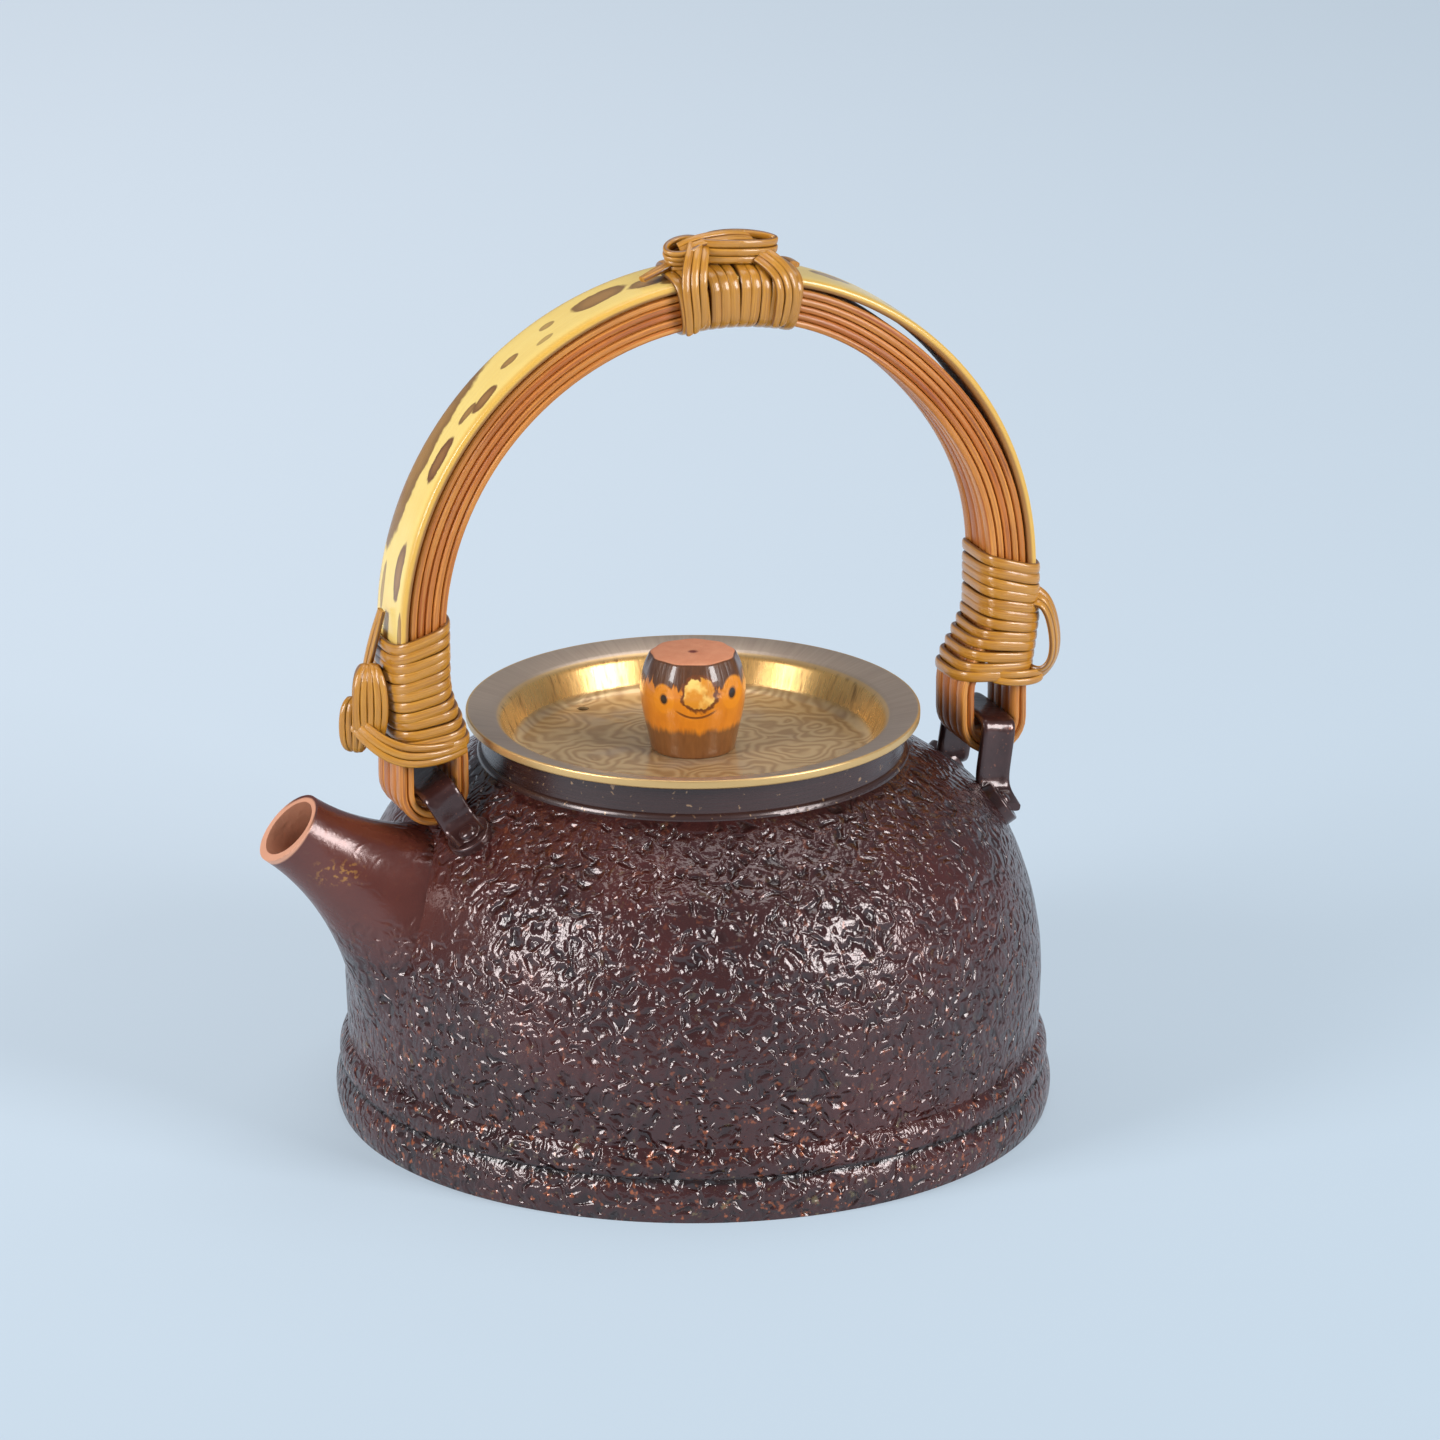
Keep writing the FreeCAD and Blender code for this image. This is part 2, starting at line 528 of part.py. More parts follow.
SPREAD_FOOT = f"({BRIDGE_HEIGHT} + spread_rise)"
SPREAD_TOP = f"({SPREAD_FOOT} + spread_length)"
BAMBOO_END = f"({SPREAD_TOP} + bamboo_end_rise)"
ARCH_HEIGHT = f"({BRIDGE_HEIGHT} + leg_height)"
ARCH_CENTRE = f"(({REAR_REACH} - {FRONT_REACH})/2 + arch_shift)"
BUNDLE_THICKNESS = "(2*splint_thickness + bundle_core)"
ARCH_INNER = f"(({REAR_REACH} + {FRONT_REACH} - {BUNDLE_THICKNESS})/2 + arch_swell)"
BUNDLE_OUTER = f"({ARCH_INNER} + {BUNDLE_THICKNESS})"
BAMBOO_INNER = f"({BUNDLE_OUTER} + bamboo_gap)"
BAMBOO_OUTER = f"({BAMBOO_INNER} + bamboo_thickness)"


def arch_top(radius):
    """Rear end, crown and front end of a half circle about the arch's centre."""
    return [
        (f"{ARCH_CENTRE} + {radius}", ARCH_HEIGHT),
        (ARCH_CENTRE, f"{ARCH_HEIGHT} + {radius}", "left", radius),
        (f"{ARCH_CENTRE} - {radius}", ARCH_HEIGHT, "left", radius),
    ]


def turned_back(corners):
    """The same outline drawn the other way round, for an inner edge."""
    arcs = [corner[2:] for corner in corners]
    back = []
    for index in range(len(corners) - 1, -1, -1):
        arc = arcs[index + 1] if index + 1 < len(corners) else ()
        if arc:
            arc = ("right" if arc[0] == "left" else "left", arc[1])
        back.append((*corners[index][:2], *arc))
    return back


def padded_body(name, loops, width, rounding, outer_only):
    """A piece of even width across the handle's plane, with its long edges rounded."""
    body = doc.addObject("PartDesign::Body", name)
    outline = new_sketch(body, f"{name}_outline", "XZ_Plane")
    for corners in loops:
        draw_loop(outline, corners)
    pad = body.newObject("PartDesign::Pad", f"{name}_pad")
    pad.Profile = outline
    pad.SideType = "Symmetric"
    pad.setExpression("Length", bound(width))
    doc.recompute()
    centre = FreeCAD.Vector(size(ARCH_CENTRE), 0, size(ARCH_HEIGHT))
    edges = []
    for index, edge in enumerate(pad.Shape.Edges, start=1):
        flat = edge.BoundBox.YLength < 1e-6
        middle = edge.valueAt((edge.FirstParameter + edge.LastParameter) / 2)
        reach = math.hypot(middle.x - centre.x, max(0, middle.z - centre.z))
        if flat and (not outer_only or reach > size(f"{BAMBOO_OUTER} - bamboo_thickness/2")):
            edges.append(f"Edge{index}")
    rounded = body.newObject("PartDesign::Fillet", f"{name}_rounded")
    rounded.Base = (pad, edges)
    rounded.setExpression("Radius", bound(rounding))
    return body


bamboo_strip = padded_body("bamboo_strip", [[
    (f"{ARCH_CENTRE} + {BAMBOO_OUTER}", BAMBOO_END),
    *arch_top(BAMBOO_OUTER),
    (f"{ARCH_CENTRE} - {BAMBOO_OUTER}", BAMBOO_END),
    (f"{ARCH_CENTRE} - {BAMBOO_INNER}", BAMBOO_END),
    *turned_back(arch_top(BAMBOO_INNER)),
    (f"{ARCH_CENTRE} + {BAMBOO_INNER}", BAMBOO_END),
]], "bamboo_width", "bamboo_round", True)


def loop_end(centre, radius, turn):
    """The round end of a loop under an ear, drawn from its first side to its second."""
    first = "-" if turn == "left" else "+"
    second = "+" if turn == "left" else "-"
    return [
        (f"{centre} {first} {radius}", SPREAD_FOOT),
        (f"{centre} {first} {radius}", LOOP_HEIGHT),
        (centre, f"{LOOP_HEIGHT} - {radius}", turn, radius),
        (f"{centre} {second} {radius}", LOOP_HEIGHT, turn, radius),
        (f"{centre} {second} {radius}", SPREAD_FOOT),
    ]


def splint_loop(outer_radius, inner_radius, end_radius):
    """One edge of a splint: over the arch, down, round under an ear, and back inside."""
    return [
        (f"{ARCH_CENTRE} + {outer_radius}", SPREAD_TOP),
        *arch_top(outer_radius),
        (f"{ARCH_CENTRE} - {outer_radius}", SPREAD_TOP),
        *loop_end(f"0 - {FRONT_REACH}", end_radius, "left"),
        (f"{ARCH_CENTRE} - {inner_radius}", SPREAD_TOP),
        *turned_back(arch_top(inner_radius)),
        (f"{ARCH_CENTRE} + {inner_radius}", SPREAD_TOP),
        *loop_end(REAR_REACH, end_radius, "left"),
    ]


for number in range(1, SPLINTS + 1):
    splint = padded_body(f"rattan_splint_{number}", [
        splint_loop(BUNDLE_OUTER, ARCH_INNER, LOOP_OUTER),
        splint_loop(f"({BUNDLE_OUTER} - splint_thickness)", f"({ARCH_INNER} + splint_thickness)",
                    LOOP_INNER),
    ], "splint_width", "splint_round", False)
    step = number - (SPLINTS + 1) / 2
    splint.setExpression("Placement.Base.y", bound(f"{step}*(splint_width + splint_gap)"))


# Windings of rattan skin: each is one unbroken tube

SKIN_PITCH = "(skin_diameter + skin_spacing)"
SKIN_CORNER = "(skin_diameter + skin_corner_spare)"


def biarc(start, start_way, end, end_way):
    """Two arcs that leave one point and reach another in given directions."""
    span = end - start
    both = start_way + end_way
    bend = 1 - start_way.dot(end_way)
    reach = (math.sqrt(span.dot(both) ** 2 + 2 * bend * span.dot(span)) - span.dot(both)) / (2 * bend)
    first = start + start_way * reach
    second = end - end_way * reach
    joint = (first + second) / 2
    edges = []
    for begin, control, finish in ((start, first, joint), (joint, second, end)):
        middle = (begin + finish) / 2
        cosine = begin.distanceToPoint(finish) / (2 * reach)
        crown = middle + (control - middle) * (cosine / (1 + cosine))
        edges.append(Part.Arc(begin, crown, finish).toShape())
    return edges


def least_gap(path, diameter):
    """The least room between turns, measured on points along the middle line."""
    points = path.discretize(Distance=0.5)
    skip = math.ceil(3 * diameter / 0.5)
    least = min(points[i].distanceToPoint(points[j])
                for i in range(len(points)) for j in range(i + skip, min(i + 180, len(points))))
    return least - diameter


def winding(name, turns, section, place, corner):
    """A tube wound round a rounded box. section gives the box at a distance along the winding
    as (low, high, half width), and place puts a point of it into the handle's frame."""
    pitch = size(SKIN_PITCH)
    radius = size("skin_diameter") / 2
    flats = []
    for quarter in range(4 * turns):
        low, high, half = section(pitch * quarter / 4)
        corners = [(low, -half), (high, -half), (high, half), (low, half)]
        begin = corners[quarter % 4]
        finish = corners[(quarter + 1) % 4]
        length = math.hypot(finish[0] - begin[0], finish[1] - begin[1])
        way = ((finish[0] - begin[0]) / length, (finish[1] - begin[1]) / length)
        travel = pitch * (quarter + 0.5) / 4
        rise = pitch / 8 * (length - 2 * corner) / length
        start = place(begin[0] + way[0] * corner, begin[1] + way[1] * corner, travel - rise)
        end = place(finish[0] - way[0] * corner, finish[1] - way[1] * corner, travel + rise)
        flats.append((start, end, (end - start).normalize()))
    edges = []
    for index, (start, end, way) in enumerate(flats):
        edges.append(Part.makeLine(start, end))
        if index + 1 < len(flats):
            following = flats[index + 1]
            edges += biarc(end, way, following[0], following[2])
    path = Part.Wire(edges)
    start, end, way = flats[0]
    ring = Part.Wire([Part.Circle(start, way, radius).toShape()])
    tube = path.makePipeShell([ring], True, False)
    gap = least_gap(path, 2 * radius)
    exact = math.pi * radius ** 2 * path.Length
    print(f"{name}: least gap between turns {gap:.2f} mm")
    print(f"{name}: volume is {tube.Volume / exact:.4f} of section times length")
    if gap < LEAST_SKIN_GAP:
        raise ValueError(f"{name} touches itself")
    return shape_piece(name, tube)


SKIN_OFFSET = size("skin_slack + skin_diameter/2")
BUNDLE_HALF = max(size("bamboo_width/2"), size(f"{BUNDLE_WIDTH}/2 + skin_corner_room")) + SKIN_OFFSET
TURNS = int(size("binding_turns"))
arch_centre = size(ARCH_CENTRE)
arch_height = size(ARCH_HEIGHT)
inner_reach = size(ARCH_INNER) - SKIN_OFFSET
outer_reach = size(BAMBOO_OUTER) + SKIN_OFFSET


def leg_section(foot, loop_reach):
    """The box that a leg's binding is wound round, by distance above its lowest turn."""
    def section(travel):
        share = (size(SPREAD_TOP) - foot - travel) / size("spread_length")
        share = max(0, min(1, share))
        low = loop_reach - size(LOOP_OUTER) - SKIN_OFFSET
        high = loop_reach + size(LOOP_OUTER) + SKIN_OFFSET
        return (inner_reach + (low - inner_reach) * share,
                outer_reach + (high - outer_reach) * share, BUNDLE_HALF)
    return section


def on_leg(side, foot):
    """Puts a winding round a leg, which stands upright below the arch's centre."""
    def place(reach, across, travel):
        height = foot + travel
        turn = max(0, height - arch_height) / inner_reach
        return FreeCAD.Vector(arch_centre + side * reach * math.cos(turn), across,
                              min(height, arch_height) + reach * math.sin(turn))
    return place


def on_arch(reach, across, travel):
    """Puts a winding over the arch, at a distance from the arch's centre."""
    length = TURNS * size(SKIN_PITCH)
    turn = (travel - length / 2 + size("top_binding_shift")) / inner_reach
    return FreeCAD.Vector(arch_centre + reach * math.sin(turn), across,
                          arch_height + reach * math.cos(turn))


front_loop = size(FRONT_REACH) + arch_centre
rear_loop = size(REAR_REACH) - arch_centre
spout_foot = size(SPREAD_FOOT)
rear_foot = size(f"{SPREAD_FOOT} + rear_binding_rise")
winding("spout_binding", TURNS, leg_section(spout_foot, front_loop), on_leg(-1, spout_foot),
        size(SKIN_CORNER))
winding("rear_binding", TURNS, leg_section(rear_foot, rear_loop), on_leg(1, rear_foot),
        size(SKIN_CORNER))
winding("top_binding", TURNS, lambda travel: (inner_reach, outer_reach, BUNDLE_HALF), on_arch,
        size(SKIN_CORNER))

# Bows that finish the bindings: flattened coils lying on their outer sides

BOW_TURNS = int(size("knot_turns"))
BOW_RISE = size("skin_diameter + knot_spare")
bow_half_width = BOW_TURNS * size(SKIN_PITCH) / 2
bow_lift = SKIN_OFFSET + size("skin_diameter/2") + BOW_RISE


def bow(name, length, place):
    """A coil of long flat turns, laid side by side across the handle."""
    half = length / 2 - size("skin_diameter/2")
    winding(name, BOW_TURNS, lambda travel: (-BOW_RISE, BOW_RISE, half), place, size("skin_diameter"))


def over_crown(lift, run, travel):
    return FreeCAD.Vector(arch_centre + run, travel - bow_half_width,
                          arch_height + outer_reach + bow_lift + lift)


def beside_leg(side, foot, loop_reach, rise):
    """Puts a bow upright outside a leg, on the binding where that is widest beside the bow."""
    height = size(BRIDGE_HEIGHT) + rise
    low_end = height - size("leg_knot_length/2")
    reach = max(outer_reach, leg_section(foot, loop_reach)(low_end - foot)[1]) + bow_lift
    return lambda lift, run, travel: FreeCAD.Vector(
        arch_centre + side * (reach + lift), travel - bow_half_width, height + run)


bow("top_knot", size("top_knot_length"), over_crown)
bow("spout_knot", size("leg_knot_length"),
    beside_leg(-1, spout_foot, front_loop, size("spout_knot_rise")))
bow("rear_knot", size("leg_knot_length"),
    beside_leg(1, rear_foot, rear_loop, size("rear_knot_rise")))

NODES = [
    "kettle_body", "base_pan", "neck_collar",
    "front_ear", "rear_ear", "front_ear_rivets", "rear_ear_rivets",
    "lid_dish", "lid_knob", "knob_screw", "knob_washer", "bamboo_strip",
    *[f"rattan_splint_{number}" for number in range(1, SPLINTS + 1)],
    "top_binding", "spout_binding", "rear_binding", "top_knot", "spout_knot", "rear_knot",
]
doc.recompute()
for item in doc.Objects:
    if "Invalid" in item.State or "Error" in item.State:
        raise ValueError(f"{item.Label} failed: {item.State}")
os.makedirs("parts", exist_ok=True)
for node in NODES:
    piece = doc.getObject(node)
    if piece.Label != node or piece.Shape.isNull() or not piece.Shape.isValid():
        raise ValueError(f"{node} has no sound shape")
    print(f"{node}: {len(piece.Shape.Solids)} solid, {piece.Shape.Volume:.1f} mm3")
    piece.Shape.exportStep(f"parts/{node}.step")
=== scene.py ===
import math

import bmesh
import bpy
from mathutils import Matrix, Vector


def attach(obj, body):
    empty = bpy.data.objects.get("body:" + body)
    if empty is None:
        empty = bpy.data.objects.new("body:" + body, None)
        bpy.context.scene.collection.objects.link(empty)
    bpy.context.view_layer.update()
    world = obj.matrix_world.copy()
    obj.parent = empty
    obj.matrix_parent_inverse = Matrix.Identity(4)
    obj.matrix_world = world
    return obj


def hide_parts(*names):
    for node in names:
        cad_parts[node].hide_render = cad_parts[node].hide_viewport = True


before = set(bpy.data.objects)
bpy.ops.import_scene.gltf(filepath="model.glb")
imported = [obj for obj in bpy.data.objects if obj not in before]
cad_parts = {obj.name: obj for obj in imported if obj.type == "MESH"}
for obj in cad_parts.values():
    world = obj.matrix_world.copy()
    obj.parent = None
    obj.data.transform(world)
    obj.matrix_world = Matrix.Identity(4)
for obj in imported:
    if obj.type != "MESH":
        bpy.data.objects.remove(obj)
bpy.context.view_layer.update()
mm = 0.001


# Base pan
# The flat bottom of the kettle, a shallow pan of sheet copper with an upturned edge. It is hammered
# all over like the body, patinated dark red-brown, and brazed to the body along a wavy seam.
class Tone:
    """One value of a finish; plain sums on it add the shader's Math nodes."""

    def __init__(self, tree, socket):
        self.tree = tree
        self.socket = socket

    def node(self, kind, settings, inputs, output=0):
        """Any node: its type, its settings, the values or links of its sockets, and what is read off it."""
        made = self.tree.nodes.new("ShaderNode" + kind)
        for key, value in settings.items():
            setattr(made, key, value)
        for key, value in inputs.items():
            if isinstance(value, Tone):
                self.tree.links.new(value.socket, made.inputs[key])
            else:
                made.inputs[key].default_value = value
        return Tone(self.tree, made.outputs[output])

    def math(self, operation, first, second=0.0):
        return self.node("Math", {"operation": operation}, {0: first, 1: second})

    def vector(self, operation, other, output=0):
        return self.node("VectorMath", {"operation": operation}, {0: self, 1: other}, output)

    def __add__(self, other):
        return self.math("ADD", self, other)

    def __radd__(self, other):
        return self.math("ADD", other, self)

    def __sub__(self, other):
        return self.math("SUBTRACT", self, other)

    def __rsub__(self, other):
        return self.math("SUBTRACT", other, self)

    def __mul__(self, other):
        return self.math("MULTIPLY", self, other)

    def __rmul__(self, other):
        return self.math("MULTIPLY", other, self)

    def __truediv__(self, other):
        return self.math("DIVIDE", self, other)

    def __rtruediv__(self, other):
        return self.math("DIVIDE", other, self)

    def __pow__(self, other):
        return self.math("POWER", self, other)

    def __rpow__(self, other):
        return self.math("POWER", other, self)

    def __abs__(self):
        return self.math("ABSOLUTE", self)

    def step(self, low, high):
        """0 before low, 1 past high and smooth between them; high may be the lower one."""
        return self.node("MapRange", {"interpolation_type": "SMOOTHSTEP"}, {0: self, 1: low, 2: high})

    def noise(self, scale, detail=2.0, roughness=0.5, distortion=0.0):
        return self.node("TexNoise", {}, {"Vector": self, "Scale": scale, "Detail": detail,
                                          "Roughness": roughness, "Distortion": distortion})


def tint(amount, under, over):
    """A colour that goes from under to over as amount goes from 0 to 1."""
    return amount.node("Mix", {"data_type": "RGBA"}, {0: amount, 6: under, 7: over}, 2)


def paint(red, green, blue):
    """A colour as seen, 0 to 255, in the linear values that a shader takes."""
    parts = [c / 255 for c in (red, green, blue)]
    return tuple(c / 12.92 if c < 0.04045 else ((c + 0.055) / 1.055) ** 2.4 for c in parts) + (1.0,)


def new_finish(name, levels):
    """A fresh finish: its material, its shader with the even levels set, and the place on the piece."""
    finish = bpy.data.materials.new(name)
    finish.use_nodes = True
    shader = finish.node_tree.nodes["Principled BSDF"]
    for key, value in levels.items():
        shader.inputs[key].default_value = value
    return finish, shader, Tone(finish.node_tree, None).node("TexCoord", {}, {}, 3)


def feed(shader, name, tone):
    tone.tree.links.new(tone.socket, shader.inputs[name])


def emboss(shader, height, depth):
    feed(shader, "Normal", height.node("Bump", {}, {"Strength": 1.0, "Distance": depth, "Height": height}))


def axes(place):
    return [place.node("SeparateXYZ", {}, {0: place}, n) for n in range(3)]


def dress(finish, name):
    """Gives a CAD node its finish and leaves its mesh as it is."""
    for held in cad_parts[name].material_slots:
        held.material = finish


vessel_copper, shader, place = new_finish("hammered_copper", {"IOR": 1.75})
x, y, z = axes(place)
from_axis = (x * x + y * y) ** 0.5
wander = place.node("TexNoise", {}, {"Vector": place, "Scale": 160.0}, 1)
bent = place.vector("ADD", wander.vector("MULTIPLY", (3 * mm, 3 * mm, 3 * mm)))
ridge = (1 - abs(bent.noise(340.0, 1.2, 0.5, 0.4) * 2 - 1)).step(0.40, 1.0)
fine = place.noise(1500.0)
cloud = place.noise(45.0, 3.0)
spout = x.step(-46 * mm, -60 * mm) * z.step(34 * mm, 48 * mm)
neck = z.step(65.5 * mm, 67.2 * mm)
plain = 1 - (1 - spout * 0.94) * (1 - neck * 0.9)
emboss(shader, (ridge * 0.85 + fine * 0.15) * (1 - plain) + fine * plain * 0.03, 0.85 * mm)

low = z.step(45 * mm, 0.0)
colour = tint(ridge * 0.6 + cloud * 0.4, paint(20, 7, 7), paint(70, 34, 32))
colour = tint(cloud.step(0.46, 0.66) * 0.35, colour, paint(88, 34, 28))
copper = place.noise(620.0, 2.0, 0.6).step(0.60, 0.72) * (0.2 + low * 0.7)
colour = tint(copper, colour, paint(176, 100, 66))
olive = place.noise(430.0, 3.0, 0.6).step(0.63, 0.72) * (0.2 + low * 0.4)
colour = tint(olive, colour, paint(128, 112, 76))
colour = tint(spout * 0.8, colour, tint(cloud, paint(66, 27, 24), paint(118, 58, 44)))
fleck_area = x.step(-65.5 * mm, -70 * mm) * x.step(-77 * mm, -73 * mm) * y.step(-2 * mm, -6 * mm)
fleck_area = fleck_area * z.step(58 * mm, 55.5 * mm) * z.step(51.5 * mm, 54 * mm)
fleck = place.noise(1100.0, 3.0).step(0.50, 0.62) * fleck_area
colour = tint(fleck * 0.7, colour, paint(176, 122, 54))
# The dark ring at the base seam is the brazed joint, darkened further with painted shade of the groove under
# the body's flare.
seam_height = 8 * mm + (place.noise(40.0) - 0.5) * (1.6 * mm)
seam_joint_and_shade = abs(z - seam_height).step(0.9 * mm, 0.3 * mm) * from_axis.step(60 * mm, 62.5 * mm)
colour = tint(seam_joint_and_shade * 0.85, colour, paint(26, 14, 13))

# The bare copper inside the pot and the spout, and the rubbed lip of the spout. The bare copper is its own
# colour, painted brighter with painted light so that the bore looks lit deep inside.
lip_middle = (-77.9 * mm, 0.0, 61.5 * mm)
spout_way = (0.793, 0.0, -0.609)
from_lip = place.vector("SUBTRACT", lip_middle)
deep = from_lip.vector("DOT_PRODUCT", spout_way, 1)
apart = (from_lip.vector("DOT_PRODUCT", from_lip, 1) - deep * deep) ** 0.5
bore = (apart - deep * deep * 12.6).step(6.8 * mm, 6.4 * mm) * deep.step(30 * mm, 26 * mm)
rubbed = deep.step(0.6 * mm, 0.1 * mm) * x.step(-60 * mm, -65 * mm)
facing = place.node("NewGeometry", {}, {}, 1)
from_middle = place.vector("SUBTRACT", (0.0, 0.0, 30 * mm))
inward = facing.vector("DOT_PRODUCT", from_middle, 1).step(0.0, -6 * mm) * x.step(-62 * mm, -58 * mm)
bare_and_lit = 1 - (1 - bore) * (1 - inward) * (1 - rubbed)
colour = tint(bare_and_lit, colour, tint(cloud, paint(206, 130, 96), paint(238, 176, 142)))
feed(shader, "Base Color", colour)
feed(shader, "Metallic", 0.18 + copper * 0.3)
feed(shader, "Roughness", 0.15 + cloud * 0.1 + plain * 0.05 + bare_and_lit * 0.15)
dress(vessel_copper, "base_pan")


# Kettle body
# One raised shell of sheet copper with its spout drawn out of the wall. The outside is hammered
# into short crossing wrinkles and patinated; the spout is left smooth and its lip is bare copper.
dress(vessel_copper, "kettle_body")


# Neck collar
# A rolled copper ring with a beaded foot, soldered on the shoulder to carry the lid. It has the
# same dark patina, rubbed smooth, with fine scratches round it and small bright flecks.
collar_copper, shader, place = new_finish("smooth_copper", {"IOR": 1.8})
x, y, z = axes(place)
scratch = place.vector("MULTIPLY", (60.0, 60.0, 2600.0)).noise(1.0, 3.0, 0.6)
cloud = place.noise(60.0, 3.0)
colour = tint(cloud * 0.6 + scratch * 0.4, paint(28, 15, 14), paint(80, 50, 45))
colour = tint(place.noise(900.0).step(0.66, 0.74) * 0.7, colour, paint(178, 140, 104))
inner = (x * x + y * y).step((37.6 * mm) ** 2, (37.2 * mm) ** 2)
colour = tint(inner * 0.8, colour, paint(168, 104, 76))
feed(shader, "Base Color", colour)
feed(shader, "Metallic", 0.3 + inner * 0.3)
feed(shader, "Roughness", 0.2 + scratch * 0.14)
emboss(shader, scratch, 0.04 * mm)
dress(collar_copper, "neck_collar")


# Ears and rivets
# Two bent copper straps that the handle's loops go through, with round feet riveted to the
# shoulder. They are dipped dark, almost black, and polished by handling along their edges.
ear_copper, shader, place = new_finish("dark_copper", {"Coat Roughness": 0.1})
cloud = place.noise(170.0, 3.0)
colour = tint(cloud, paint(34, 17, 16), paint(86, 50, 46))
colour = tint(place.noise(1300.0).step(0.66, 0.75) * 0.5, colour, paint(160, 96, 70))
feed(shader, "Base Color", colour)
feed(shader, "Metallic", 0.3 + cloud * 0.2)
feed(shader, "Roughness", 0.22 + cloud * 0.14)
feed(shader, "Coat Weight", 0.6 + cloud * 0.3)
emboss(shader, place.noise(420.0), 0.16 * mm)


def turned(profile, rounds, steps):
    """A closed outline of (radius, height) in mm, with some of its corners rounded, turned about Z."""
    made = bmesh.new()
    points = [made.verts.new((r * mm, 0, h * mm)) for r, h in profile]
    for first, second in zip(points, points[1:] + points[:1]):
        made.edges.new((first, second))
    for corner, size in rounds.items():
        bmesh.ops.bevel(made, geom=[points[corner]], affect="VERTICES", offset=size * mm, segments=5,
                        profile=0.5, material=-1)
    bmesh.ops.spin(made, geom=made.verts[:] + made.edges[:], cent=(0, 0, 0), axis=(0, 0, 1), dvec=(0, 0, 0),
                   angle=math.tau, steps=steps, use_merge=True)
    bmesh.ops.remove_doubles(made, verts=made.verts[:], dist=1e-6)
    bmesh.ops.recalc_face_normals(made, faces=made.faces[:])
    return made


def settle(made, name, finish, body, crease):
    """Makes a bmesh the piece that stands for the CAD node of its name and rides on a body."""
    shape = bpy.data.meshes.new(name)
    made.to_mesh(shape)
    made.free()
    shape.shade_smooth()
    shape.set_sharp_from_angle(angle=math.radians(crease))
    piece = bpy.data.objects.new(name, shape)
    bpy.context.scene.collection.objects.link(piece)
    shape.materials.append(finish)
    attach(piece, body)
    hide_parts(name)
    return piece


def oval(wide, thick, square, points=12):
    """A strand's section, (across, out) in mm: square 1 is an ellipse, and less is squarer."""
    made = bmesh.new()
    ring = bmesh.ops.create_circle(made, segments=points, radius=1)["verts"]
    section = [(math.copysign(abs(v.co.x) ** square, v.co.x) * wide / 2,
                math.copysign(abs(v.co.y) ** square, v.co.y) * thick / 2) for v in ring]
    made.free()
    return section


def carry(made, section, frames, strand, closed=False):
    """Draws a section along frames of (place, across, out) in mm, and marks its grain on it."""
    along, across, which = (made.verts.layers.float.get(mark) or made.verts.layers.float.new(mark)
                            for mark in ("along", "across", "strand"))
    order = made.verts.layers.int.get("order") or made.verts.layers.int.new("order")
    wide = max(u for u, v in section)

    def put(corner, spot, length):
        u, v = section[corner[order]]
        corner.co = (spot[0] + spot[1] * u + spot[2] * v) * mm
        corner[along], corner[across], corner[which] = length * mm, u / wide, strand

    ring = []
    for n in range(len(section)):
        corner = made.verts.new()
        corner[order] = n
        put(corner, frames[0], 0.0)
        ring.append(corner)
    first = [made.edges.new((a, b)) for a, b in zip(ring, ring[1:] + ring[:1])]
    edges = first[:]
    length = 0.0
    for spot, before in zip(frames[1:], frames):
        length += (spot[0] - before[0]).length
        grown = bmesh.ops.extrude_edge_only(made, edges=edges)["geom"]
        edges = [e for e in grown if isinstance(e, bmesh.types.BMEdge) and
                 all(v in grown for v in e.verts) and len(e.link_faces) == 1]
        for corner in (v for v in grown if isinstance(v, bmesh.types.BMVert)):
            put(corner, spot, length)
    if closed:
        bmesh.ops.bridge_loops(made, edges=first + edges)
    else:
        for end in (first, edges):
            bmesh.ops.contextual_create(made, geom=end)


def ahead_at(points, n):
    """The way along points at one of them, from its neighbours."""
    return points[min(n + 1, len(points) - 1)] - points[max(n - 1, 0)]


def follow(points, lean=None):
    """Frames along points (x, y, z in mm); lean gives the outward way at each, or the bend's own."""
    frames = []
    for n, spot in enumerate(points):
        ahead = ahead_at(points, n).normalized()
        out = lean[n] if lean else ahead.cross(Vector((0, 1, 0)))
        out = (out - ahead * out.dot(ahead)).normalized()
        frames.append((spot, out.cross(ahead).normalized(), out))
    return frames


def smooth_way(points, closed):
    """A smooth route from a few points in mm, read off a NURBS curve."""
    line = bpy.data.curves.new("way", "CURVE")
    line.dimensions = "3D"
    line.resolution_u = 10
    spline = line.splines.new("NURBS")
    spline.points.add(len(points) - 1)
    for knot, spot in zip(spline.points, points):
        knot.co = (*spot, 1.0)
    spline.order_u = 4
    spline.use_cyclic_u = closed
    spline.use_endpoint_u = not closed
    holder = bpy.data.objects.new("way", line)
    bpy.context.scene.collection.objects.link(holder)
    bpy.context.view_layer.update()
    read = bpy.data.meshes.new_from_object(holder.evaluated_get(bpy.context.evaluated_depsgraph_get()))
    spots = [v.co.copy() for v in read.vertices]
    bpy.data.objects.remove(holder)
    bpy.data.meshes.remove(read)
    return spots


def stand_on(made, outline, rounds, spot, turn):
    """Adds a small turned disc to a piece, stood at spot in mm and turned to face out of the dome."""
    disc = turned(outline, rounds, 48)
    bmesh.ops.transform(disc, matrix=Matrix.Translation(spot * mm) @ turn, verts=disc.verts[:])
    held = bpy.data.meshes.new("disc")
    disc.to_mesh(held)
    disc.free()
    made.from_mesh(held)
    bpy.data.meshes.remove(held)


